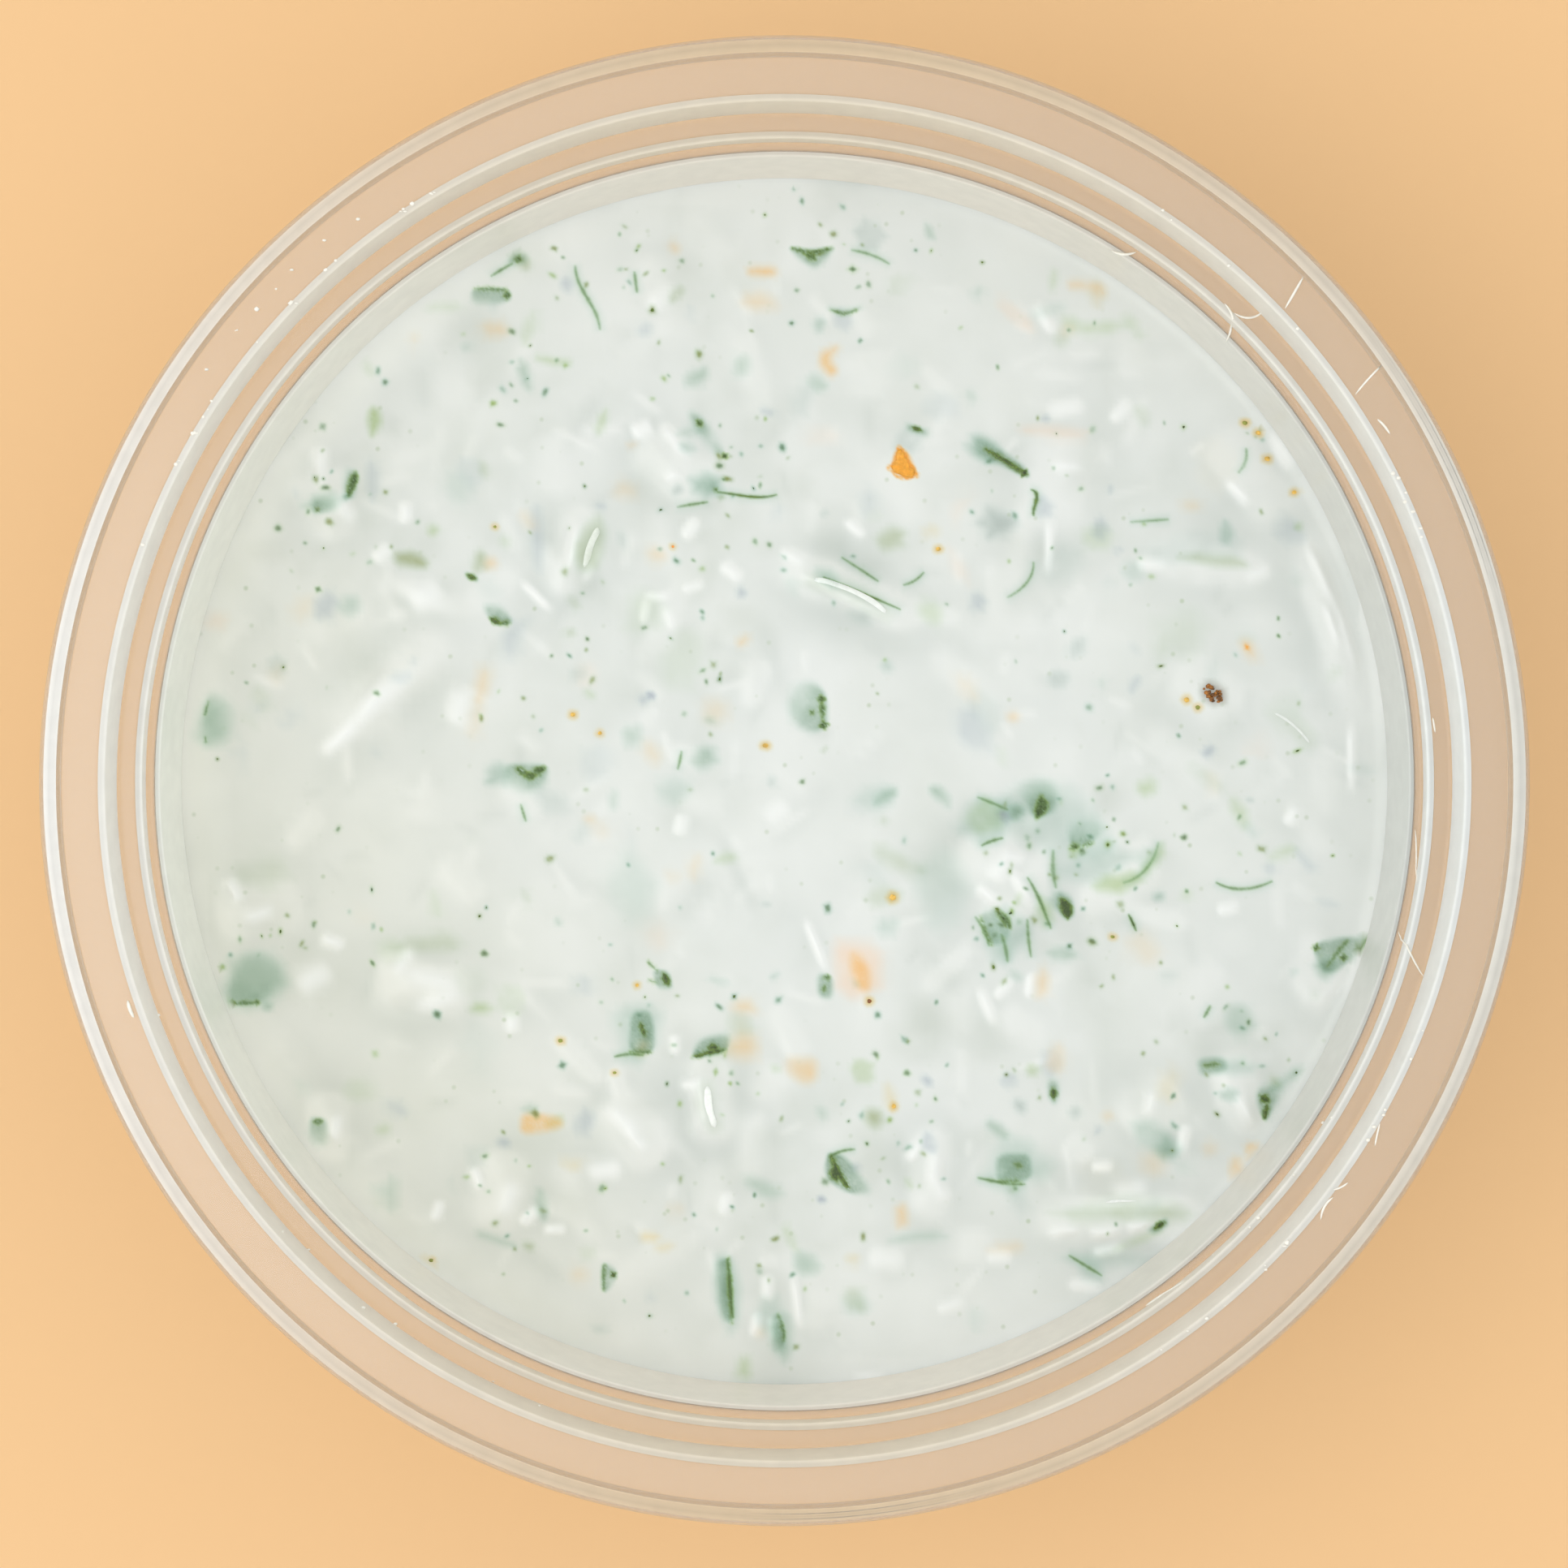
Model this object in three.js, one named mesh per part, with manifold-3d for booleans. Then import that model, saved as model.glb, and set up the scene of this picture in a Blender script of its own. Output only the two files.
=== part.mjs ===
// A clear plastic tub with a stepped rim, filled with a thick white herb sauce.
// Millimetres, +Z up, origin at the centre of the base.

import * as THREE from 'three';
import { mergeVertices } from 'three/addons/utils/BufferGeometryUtils.js';
import Module from 'manifold-3d';

// ---- Tub ----
const TUB_SEGMENTS = 76;
const WALL = 0.7;
const RIM_RADIUS = 58.5;
const RIM_HEIGHT = 45;
const BEAD_RADIUS = 0.85;
const BEAD_STEPS = 4;
const SKIRT_DEPTH = 3.8;
const FLANGE_DROP = 0.8;
const FLANGE_WIDTH = 3.4;
const LIP_DEPTH = 3.8;
const LIP_TAPER = 0.55;
const UPPER_LEDGE_WIDTH = 1.9;
const LOWER_STEP_DEPTH = 1.9;
const LOWER_STEP_TAPER = 0.15;
const LOWER_LEDGE_WIDTH = 1.05;
const WALL_TAPER = 0.11;
const BASE_CORNER_RADIUS = 3;
const BASE_CORNER_STEPS = 3;

// ---- Sauce ----
const SAUCE_SEGMENTS = 76;
const SAUCE_LEVEL = 31.5;
const SAUCE_GAP = 0.3;
const MENISCUS_HEIGHT = 0.5;
const MENISCUS_WIDTH = 1.6;
const RELIEF_RINGS = 21;
const RELIEF_FADE = 3;

// Mounds of the surface: x, y, half length, half width, height, heading in degrees.
const MOUNDS = [
  [-29.3, -16.7, 3.4, 1.9, 0.5, -12],
  [-32.0, 7.5, 5.5, 1.8, 0.33, 42],
  [-17.1, 18.6, 3.2, 1.3, 0.44, 75],
  [-36.7, 22.4, 2.6, 1.5, 0.33, 100],
  [-8.7, 25.6, 3.0, 1.8, 0.39, -50],
  [5.5, 15.3, 5.2, 1.6, 0.5, -24],
  [22.1, 24.0, 3.6, 2.4, 0.28, 70],
  [37.7, 24.6, 4.0, 2.0, 0.28, -55],
  [44.5, 12.5, 6.5, 1.6, 0.39, -72],
  [34.3, 17.6, 4.5, 1.6, 0.28, -8],
  [34.0, 7.4, 2.6, 2.0, 0.28, -30],
  [17.7, -7.6, 3.8, 2.8, 0.55, 125],
  [27.1, -8.4, 3.2, 1.6, 0.28, 30],
  [-5.9, -25.8, 3.2, 1.6, 0.5, 95],
  [-12.1, -28.4, 3.0, 2.0, 0.33, -50],
  [-22.9, -33.2, 3.0, 1.8, 0.33, 80],
  [-36.9, -28.0, 2.6, 1.5, 0.33, 85],
  [-42.5, -10.4, 3.2, 2.0, 0.28, 10],
  [11.9, -31.8, 3.4, 1.5, 0.33, 88],
  [27.3, -35.4, 6.0, 1.9, 0.5, 0],
  [36.9, -25.4, 3.0, 1.5, 0.44, 110],
  [29.9, -26.6, 2.4, 2.0, 0.33, 40],
  [44.1, -16.2, 2.6, 1.5, 0.28, 40],
  [1.5, 3.0, 9.0, 5.0, 0.17, 60],
  [-8.5, 40.0, 9.0, 5.0, 0.14, 10],
  [7.5, -42.0, 9.0, 3.5, 0.17, -10],
];

// Leaf pieces at the surface: x, y, length, width, heading in degrees, lean in degrees.
const LEAVES = [
  [-23.5, 39.4, 1.3, 3.4, -92, 14],
  [-21.6, 42.3, 1.8, 1.0, 20, 16],
  [-35.0, 24.0, 2.4, 0.9, -102, 14],
  [-23.3, 13.5, 2.6, 1.7, 148, 12],
  [-20.8, 0.9, 4.2, 2.1, 2, 14],
  [-6.3, 28.4, 4.0, 1.2, -46, 14],
  [1.8, 42.5, 3.6, 1.7, -4, 14],
  [4.5, 37.9, 3.4, 0.9, 8, 14],
  [10.8, 28.4, 1.9, 0.9, -26, 14],
  [17.5, 26.2, 4.9, 1.3, 147, 16],
  [1.7, 5.6, 4.2, 3.2, -88, 14],
  [-37.9, -28.0, 2.4, 1.9, 60, 13],
  [-9.9, -15.8, 2.6, 2.0, -50, 5],
  [-11.7, -20.7, 2.1, 3.5, 180, 12],
  [-5.7, -21.5, 2.9, 1.6, 195, 15],
  [-14.1, -40.2, 2.0, 1.5, 70, 14],
  [20.8, -2.2, 2.2, 1.6, 135, 14],
  [23.8, -5.2, 2.4, 1.0, 25, 14],
  [22.7, -10.4, 2.3, 1.4, 225, 13],
  [17.1, -11.4, 2.8, 1.1, -60, 15],
  [44.7, -13.8, 4.2, 1.9, 198, 12],
  [45.7, -9.7, 1.8, 1.3, 50, 14],
  [34.6, -23.0, 2.2, 1.6, 0, 13],
  [38.8, -26.0, 2.5, 1.8, 45, 14],
  [21.8, -25.2, 2.3, 1.2, 90, 14],
  [4.5, -31.7, 4.2, 1.7, 120, 14],
  [18.7, -31.3, 2.7, 2.5, 180, 10],
  [30.3, -35.9, 1.7, 1.0, 30, 14],
  [3.4, -16.3, 1.5, 2.1, 5, 13],
  [-0.5, -44.8, 3.4, 0.9, -88, 14],
];
const LEAF_THICKNESS = 0.4;
const LEAF_STEPS = [4, 2];
const LEAF_TIP = 0.25;
const LEAF_WAVE = 0.12;
const LEAF_RISE = 0.1;

// Carrot pieces: x, y, length, width, heading in degrees.
const CARROTS = [
  [-2.1, 41.3, 2.3, 0.9, 0],
  [3.5, 34.1, 2.6, 1.5, 80],
  [9.5, 25.8, 2.7, 2.1, 100],
  [24.3, 40.0, 2.9, 0.9, -4],
  [37.4, 10.9, 1.6, 1.2, 75],
  [34.7, 7.1, 1.6, 1.2, -35],
  [-19.6, -27.6, 3.5, 1.7, 3],
  [5.9, -15.2, 4.2, 2.2, -65],
  [1.5, -23.1, 2.3, 2.1, 40],
  [36.4, -31.1, 1.7, 1.3, 60],
  [37.8, -29.8, 1.3, 1.0, 30],
];
const CARROT_HEIGHT = 1.2;
const CARROT_RISE = -0.1;
const CARROT_ROUGHNESS = 0.12;

// Shreds and stems: x, y, length, width, heading in degrees, bow sideways.
const SHREDS = [
  [-15.4, 38.8, 5.6, 0.4, -68, 0.4],
  [-3.0, 23.2, 4.8, 0.4, -2, -0.3],
  [20.2, 22.6, 2.4, 0.5, -82, 0.3],
  [-4.4, -41.2, 4.9, 0.5, -86, 0.2],
  [37.2, -8.5, 4.6, 0.4, 2, -0.45],
  [17.9, -32.4, 4.2, 0.4, -5, -0.1],
  [5.4, 15.0, 7.6, 0.9, -25, 0.3],
  [-6.0, -26.3, 4.0, 1.0, 101, 0.2],
  [41.1, 4.4, 4.8, 1.0, -40, 0.2],
  [27.9, -34.9, 9.5, 1.8, 1, 0.4],
  [24.5, -39.3, 3.2, 0.4, -31, 0],
];
const SHRED_THICKNESS = 1;
const SHRED_STEPS = 6;
const SHRED_RISE = -0.2;

const DEGREE = Math.PI / 180;

// ---- Sizes that follow ----
const FLANGE_Z = RIM_HEIGHT - FLANGE_DROP;
const FLANGE_OUTER_RADIUS = RIM_RADIUS - 2 * BEAD_RADIUS;
const LIP_TOP_RADIUS = FLANGE_OUTER_RADIUS - FLANGE_WIDTH;
const UPPER_LEDGE_Z = FLANGE_Z - LIP_DEPTH;
const UPPER_LEDGE_RADIUS = LIP_TOP_RADIUS - LIP_TAPER;
const LOWER_STEP_RADIUS = UPPER_LEDGE_RADIUS - UPPER_LEDGE_WIDTH;
const LOWER_LEDGE_Z = UPPER_LEDGE_Z - LOWER_STEP_DEPTH;
const LOWER_LEDGE_RADIUS = LOWER_STEP_RADIUS - LOWER_STEP_TAPER;
const WALL_TOP_RADIUS = LOWER_LEDGE_RADIUS - LOWER_LEDGE_WIDTH;

const wasm = await Module();
wasm.setup();

// Inside radius of the tapered wall at height z.
function wallRadius(z) {
  return WALL_TOP_RADIUS - WALL_TAPER * (LOWER_LEDGE_Z - z);
}

// Rounded corner between the floor and the wall, from the floor outwards.
function baseCorner() {
  const cornerZ = WALL + BASE_CORNER_RADIUS;
  const centreRadius = wallRadius(cornerZ) - BASE_CORNER_RADIUS;
  const points = [];
  for (let i = 0; i <= BASE_CORNER_STEPS; i += 1) {
    const angle = (i / BASE_CORNER_STEPS) * (Math.PI / 2);
    const radius = centreRadius + BASE_CORNER_RADIUS * Math.sin(angle);
    points.push(new THREE.Vector2(radius, cornerZ - BASE_CORNER_RADIUS * Math.cos(angle)));
  }
  return points;
}

function shifted(points, outward, up) {
  return points.map((point) => new THREE.Vector2(point.x + outward, point.y + up));
}

// Inside corners of the tub from the edge of the floor to the top of the lip.
function insideCorners() {
  return [
    ...baseCorner(),
    new THREE.Vector2(WALL_TOP_RADIUS, LOWER_LEDGE_Z),
    new THREE.Vector2(LOWER_LEDGE_RADIUS, LOWER_LEDGE_Z),
    new THREE.Vector2(LOWER_STEP_RADIUS, UPPER_LEDGE_Z),
    new THREE.Vector2(UPPER_LEDGE_RADIUS, UPPER_LEDGE_Z),
    new THREE.Vector2(LIP_TOP_RADIUS, FLANGE_Z),
  ];
}

// Skirt and rounded bead, from under the flange round to its top.
function rimProfile() {
  const skirtZ = RIM_HEIGHT - SKIRT_DEPTH;
  const points = [
    new THREE.Vector2(RIM_RADIUS - WALL, FLANGE_Z - WALL),
    new THREE.Vector2(RIM_RADIUS - WALL, skirtZ),
    new THREE.Vector2(RIM_RADIUS, skirtZ),
  ];
  for (let i = 0; i <= BEAD_STEPS; i += 1) {
    const angle = (i / BEAD_STEPS) * Math.PI;
    const radius = RIM_RADIUS - BEAD_RADIUS + BEAD_RADIUS * Math.cos(angle);
    points.push(new THREE.Vector2(radius, RIM_HEIGHT - BEAD_RADIUS + BEAD_RADIUS * Math.sin(angle)));
  }
  return points;
}

function turned(profile, segments) {
  const geometry = new THREE.LatheGeometry(profile, segments);
  geometry.rotateX(Math.PI / 2);
  return geometry;
}

function tubGeometry() {
  const inside = insideCorners();
  const outside = shifted(inside, WALL, -WALL);
  return turned([
    new THREE.Vector2(0, 0),
    ...outside,
    ...rimProfile(),
    ...inside.reverse(),
    new THREE.Vector2(0, WALL),
  ], TUB_SEGMENTS);
}

// Height of the sauce's mounds at x, y, fading out towards the wall.
function relief(x, y) {
  let height = 0;
  for (const [moundX, moundY, along, across, peak, heading] of MOUNDS) {
    const cos = Math.cos(heading * DEGREE);
    const sin = Math.sin(heading * DEGREE);
    const u = ((x - moundX) * cos + (y - moundY) * sin) / along;
    const v = ((y - moundY) * cos - (x - moundX) * sin) / across;
    height += peak * Math.exp(-(u * u + v * v));
  }
  const inward = wallRadius(SAUCE_LEVEL) - Math.hypot(x, y);
  return height * THREE.MathUtils.smoothstep(inward, 0, RELIEF_FADE);
}

// The sauce up to its level, with a curved edge where it climbs the wall.
function sauceBodyGeometry() {
  const edgeZ = SAUCE_LEVEL + MENISCUS_HEIGHT;
  const edgeRadius = wallRadius(edgeZ) - SAUCE_GAP;
  const surfaceRadius = edgeRadius - MENISCUS_WIDTH;
  const profile = [
    new THREE.Vector2(0, WALL + SAUCE_GAP),
    ...shifted(baseCorner(), -SAUCE_GAP, SAUCE_GAP),
    new THREE.Vector2(edgeRadius, edgeZ),
    new THREE.Vector2(edgeRadius - MENISCUS_WIDTH / 3, SAUCE_LEVEL + MENISCUS_HEIGHT / 4),
  ];
  for (let ring = RELIEF_RINGS; ring >= 0; ring -= 1) {
    profile.push(new THREE.Vector2((surfaceRadius * ring) / RELIEF_RINGS, SAUCE_LEVEL));
  }
  const geometry = turned(profile, SAUCE_SEGMENTS);
  const position = geometry.getAttribute('position');
  for (let i = 0; i < position.count; i += 1) {
    const x = position.getX(i);
    const y = position.getY(i);
    if (Math.hypot(x, y) < surfaceRadius && position.getZ(i) > SAUCE_LEVEL / 2) {
      position.setZ(i, SAUCE_LEVEL + relief(x, y));
    }
  }
  return geometry;
}

// Puts a piece on the surface at x, y, turned to its heading.
function laid(geometry, x, y, heading, rise) {
  geometry.rotateZ(heading * DEGREE);
  geometry.translate(x, y, SAUCE_LEVEL + relief(x, y) + rise);
  return geometry;
}

// Thin wavy leaf with pointed ends, leaning so that one long edge stands proud.
function leafGeometry([x, y, length, width, heading, lean], index) {
  const geometry = new THREE.BoxGeometry(length, width, LEAF_THICKNESS, ...LEAF_STEPS, 1);
  const position = geometry.getAttribute('position');
  for (let i = 0; i < position.count; i += 1) {
    const along = (2 * position.getX(i)) / length;
    const across = position.getY(i) * (1 - (1 - LEAF_TIP) * along * along);
    position.setY(i, across + LEAF_WAVE * Math.sin(2.5 * along + index));
    position.setZ(i, position.getZ(i) + LEAF_WAVE * Math.sin(3 * along + 2 * index));
  }
  geometry.rotateX(lean * DEGREE);
  return laid(geometry, x, y, heading, LEAF_RISE);
}

// Small uneven lump of carrot.
function carrotGeometry([x, y, length, width, heading], index) {
  const geometry = new THREE.IcosahedronGeometry(1, 1);
  const position = geometry.getAttribute('position');
  for (let i = 0; i < position.count; i += 1) {
    const wobble = Math.sin(3 * position.getX(i) + index) * Math.cos(2 * position.getY(i) - index);
    const scale = 1 + CARROT_ROUGHNESS * wobble;
    position.setXYZ(i, position.getX(i) * scale, position.getY(i) * scale, position.getZ(i) * scale);
  }
  geometry.scale(length / 2, width / 2, CARROT_HEIGHT / 2);
  return laid(geometry, x, y, heading, CARROT_RISE);
}

// Shred bent sideways along its length.
function shredGeometry([x, y, length, width, heading, bow]) {
  const geometry = new THREE.BoxGeometry(length, width, SHRED_THICKNESS, SHRED_STEPS, 1, 1);
  const position = geometry.getAttribute('position');
  for (let i = 0; i < position.count; i += 1) {
    const along = (2 * position.getX(i)) / length;
    position.setY(i, position.getY(i) + bow * (1 - 2 * along * along));
  }
  return laid(geometry, x, y, heading, SHRED_RISE);
}

// A closed mesh as a solid that can be joined to others.
function solidOf(geometry) {
  geometry.deleteAttribute('normal');
  geometry.deleteAttribute('uv');
  const merged = mergeVertices(geometry, 1e-3);
  const corners = [];
  const index = merged.getIndex().array;
  for (let i = 0; i < index.length; i += 3) {
    const [a, b, c] = index.slice(i, i + 3);
    if (a !== b && b !== c && c !== a) {
      corners.push(a, b, c);
    }
  }
  return new wasm.Manifold(new wasm.Mesh({
    numProp: 3,
    vertProperties: new Float32Array(merged.getAttribute('position').array),
    triVerts: new Uint32Array(corners),
  }));
}

function geometryOf(solid) {
  const mesh = solid.getMesh();
  const geometry = new THREE.BufferGeometry();
  geometry.setAttribute('position', new THREE.BufferAttribute(mesh.vertProperties, 3));
  geometry.setIndex(new THREE.BufferAttribute(mesh.triVerts, 1));
  geometry.computeVertexNormals();
  return geometry;
}

// The main body alone, with any hollow sealed inside it filled.
function largestBody(solid) {
  return solid.decompose().reduce((best, body) => (body.volume() > best.volume() ? body : best));
}

function sauceGeometry() {
  const toppings = [
    ...LEAVES.map(leafGeometry),
    ...CARROTS.map(carrotGeometry),
    ...SHREDS.map(shredGeometry),
  ];
  const joined = toppings.reduce(
    (body, topping) => body.add(solidOf(topping)),
    solidOf(sauceBodyGeometry()),
  );
  return geometryOf(largestBody(joined));
}

function clearPlastic() {
  return new THREE.MeshStandardMaterial({
    color: 0xe9e4da,
    roughness: 0.08,
    metalness: 0,
    transparent: true,
    opacity: 0.35,
  });
}

function whiteSauce() {
  return new THREE.MeshStandardMaterial({ color: 0xe6ebe5, roughness: 0.25, metalness: 0 });
}

function namedMesh(name, geometry, material) {
  const mesh = new THREE.Mesh(geometry, material);
  mesh.name = name;
  return mesh;
}

const bowl = new THREE.Group();
bowl.add(namedMesh('tub', tubGeometry(), clearPlastic()));
bowl.add(namedMesh('sauce', sauceGeometry(), whiteSauce()));

export default bowl;
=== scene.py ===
"""A clear plastic tub of white herb sauce, seen from straight above.

Shapes are worked out in millimetres and written in metres. The sauce is a wet, uneven surface with chopped
herbs, carrot and shreds partly sunk in it: what lies under the surface tints it, softer the deeper it lies.
"""
import math

import bpy
import numpy as np
from mathutils import Matrix, Vector
from mathutils.geometry import delaunay_2d_cdt


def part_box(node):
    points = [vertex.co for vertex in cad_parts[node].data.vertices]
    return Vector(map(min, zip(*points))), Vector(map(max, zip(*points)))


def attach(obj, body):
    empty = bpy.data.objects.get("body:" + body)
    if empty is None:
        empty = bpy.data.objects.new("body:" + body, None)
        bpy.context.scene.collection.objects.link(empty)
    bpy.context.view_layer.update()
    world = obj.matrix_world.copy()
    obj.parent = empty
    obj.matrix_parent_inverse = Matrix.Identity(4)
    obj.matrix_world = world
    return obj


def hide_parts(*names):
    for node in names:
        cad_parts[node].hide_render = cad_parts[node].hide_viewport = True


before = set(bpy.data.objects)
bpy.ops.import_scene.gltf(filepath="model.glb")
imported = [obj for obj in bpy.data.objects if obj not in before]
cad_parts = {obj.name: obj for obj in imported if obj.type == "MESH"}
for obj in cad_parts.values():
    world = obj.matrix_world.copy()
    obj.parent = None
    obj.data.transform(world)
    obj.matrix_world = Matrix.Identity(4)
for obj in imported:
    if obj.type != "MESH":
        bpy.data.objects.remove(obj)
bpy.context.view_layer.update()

MM = 0.001
SEED = 41

# ---- Tub, millimetres ----
TUB_HIGH = [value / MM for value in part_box("tub")[1]]
RIM_RADIUS = TUB_HIGH[0]
RIM_HEIGHT = TUB_HIGH[2]
TUB_SEGMENTS = 300
WALL = 0.35
BEAD_RADIUS = 0.85
SKIRT_DEPTH = 3.8
FLANGE_DROP = 0.8
FLANGE_WIDTH = 3.4
LIP_DEPTH = 3.8
LIP_TAPER = 0.55
UPPER_LEDGE_WIDTH = 1.9
LOWER_STEP_DEPTH = 1.9
LOWER_STEP_TAPER = 0.15
LOWER_LEDGE_WIDTH = 1.05
WALL_TAPER = 0.11
BASE_CORNER_RADIUS = 3.0
FILLET_RADIUS = 0.35
FILLET_STEPS = 4
FILLET_MIN_TURN = 25
BASE_FLAT_RADIUS = 30
# Waviness round the rim: lobes, size, twist with the height.
RIM_WAVES = ((3, 0.05, 0.05), (7, 0.02, -0.1), (17, 0.005, 0.1))
LIFT_WAVE = 0.4
LIFT_WAVE_SHIFT = 31
ARC_STEPS = 12

FLANGE_Z = RIM_HEIGHT - FLANGE_DROP
LIP_TOP_RADIUS = RIM_RADIUS - 2 * BEAD_RADIUS - FLANGE_WIDTH
UPPER_LEDGE_Z = FLANGE_Z - LIP_DEPTH
UPPER_LEDGE_RADIUS = LIP_TOP_RADIUS - LIP_TAPER
LOWER_STEP_RADIUS = UPPER_LEDGE_RADIUS - UPPER_LEDGE_WIDTH
LOWER_LEDGE_Z = UPPER_LEDGE_Z - LOWER_STEP_DEPTH
LOWER_LEDGE_RADIUS = LOWER_STEP_RADIUS - LOWER_STEP_TAPER
WALL_TOP_RADIUS = LOWER_LEDGE_RADIUS - LOWER_LEDGE_WIDTH

# ---- Sauce, millimetres ----
SAUCE_LEVEL = 31.5
SAUCE_OVERLAP = 0.1
MENISCUS_HEIGHT = 0.5
MENISCUS_REACH = 0.7
RELIEF_FADE = 3.0
SIDE_RINGS = 5
RASTER_CELLS = 1024
SURFACE_POINTS = 92000
COARSEST_STEP = 16
LIMIT_GROWTH = 1.12
SIDE_BREAK_Z = 18
RIM_POINTS = 400
RIM_STEPS = (0.0, 0.1, 0.2, 0.35, 0.55, 0.8, 1.1)
COLOUR_TOLERANCE = 2.0
HEIGHT_TOLERANCE = 0.004
VEIL_REACH = 1.4
VEIL_FADE = 0.28
BARE_RISE = 0.03
PIECE_CORNERS = 12
SUNKEN_GAIN = 0.6
BARE_DEPTH = 0.09
BARE_WIDTH = 0.25
RAGGED = 0.07
# Painted shade in the dimples of the surface.
HOLLOW_SHADE_REACH = 9
HOLLOW_SHADE_TINT = (110.0, 96.0, 100.0)
CLEAR_HAZE = 0.4
CROWD_HAZE = 2.0
RIDGE_SPREAD = 1.35
RIDGE_RISE = 0.6
# Share of the painted highlight on ridge crests.
RIDGE_HIGHLIGHT_SHARE = 0.5
# Seeded mounds and ripples: number, then the ranges of half length, half width and height.
SEEDED_MOUNDS = (90, (1.2, 3.6), (0.7, 1.6), (0.03, 0.12))
SEEDED_RIPPLES = (260, (0.6, 2), (0.3, 0.6), (0.015, 0.05))
VEIL_STRENGTH = {"herb": 0.56, "carrot": 0.85}
FRINGE = 0.3

# Mounds of the surface: x, y, half length, half width, height, heading in degrees.
MOUNDS = [
    (-29.3, -16.7, 3.4, 1.9, 0.5, -12), (-32, 7.5, 5.5, 1.8, 0.33, 42), (-17.1, 18.6, 3.2, 1.3, 0.44, 75),
    (-36.7, 22.4, 2.6, 1.5, 0.33, 100), (-8.7, 25.6, 3, 1.8, 0.39, -50), (5.5, 15.3, 5.2, 1.6, 0.5, -24),
    (22.1, 24, 3.6, 2.4, 0.28, 70), (37.7, 24.6, 4, 2, 0.28, -55), (44.5, 12.5, 6.5, 1.6, 0.39, -72),
    (34.3, 17.6, 4.5, 1.6, 0.28, -8), (34, 7.4, 2.6, 2, 0.28, -30), (17.7, -7.6, 3.8, 2.8, 0.55, 125),
    (27.1, -8.4, 3.2, 1.6, 0.28, 30), (-5.9, -25.8, 3.2, 1.6, 0.5, 95), (-12.1, -28.4, 3, 2, 0.33, -50),
    (-22.9, -33.2, 3, 1.8, 0.33, 80), (-36.9, -28, 2.6, 1.5, 0.33, 85), (-42.5, -10.4, 3.2, 2, 0.28, 10),
    (11.9, -31.8, 3.4, 1.5, 0.33, 88), (27.3, -35.4, 6, 1.9, 0.5, 0), (36.9, -25.4, 3, 1.5, 0.44, 110),
    (29.9, -26.6, 2.4, 2, 0.33, 40), (44.1, -16.2, 2.6, 1.5, 0.28, 40), (1.5, 3, 9, 5, 0.17, 60),
    (-8.5, 40, 9, 5, 0.14, 10), (7.5, -42, 9, 3.5, 0.17, -10),
]

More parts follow.
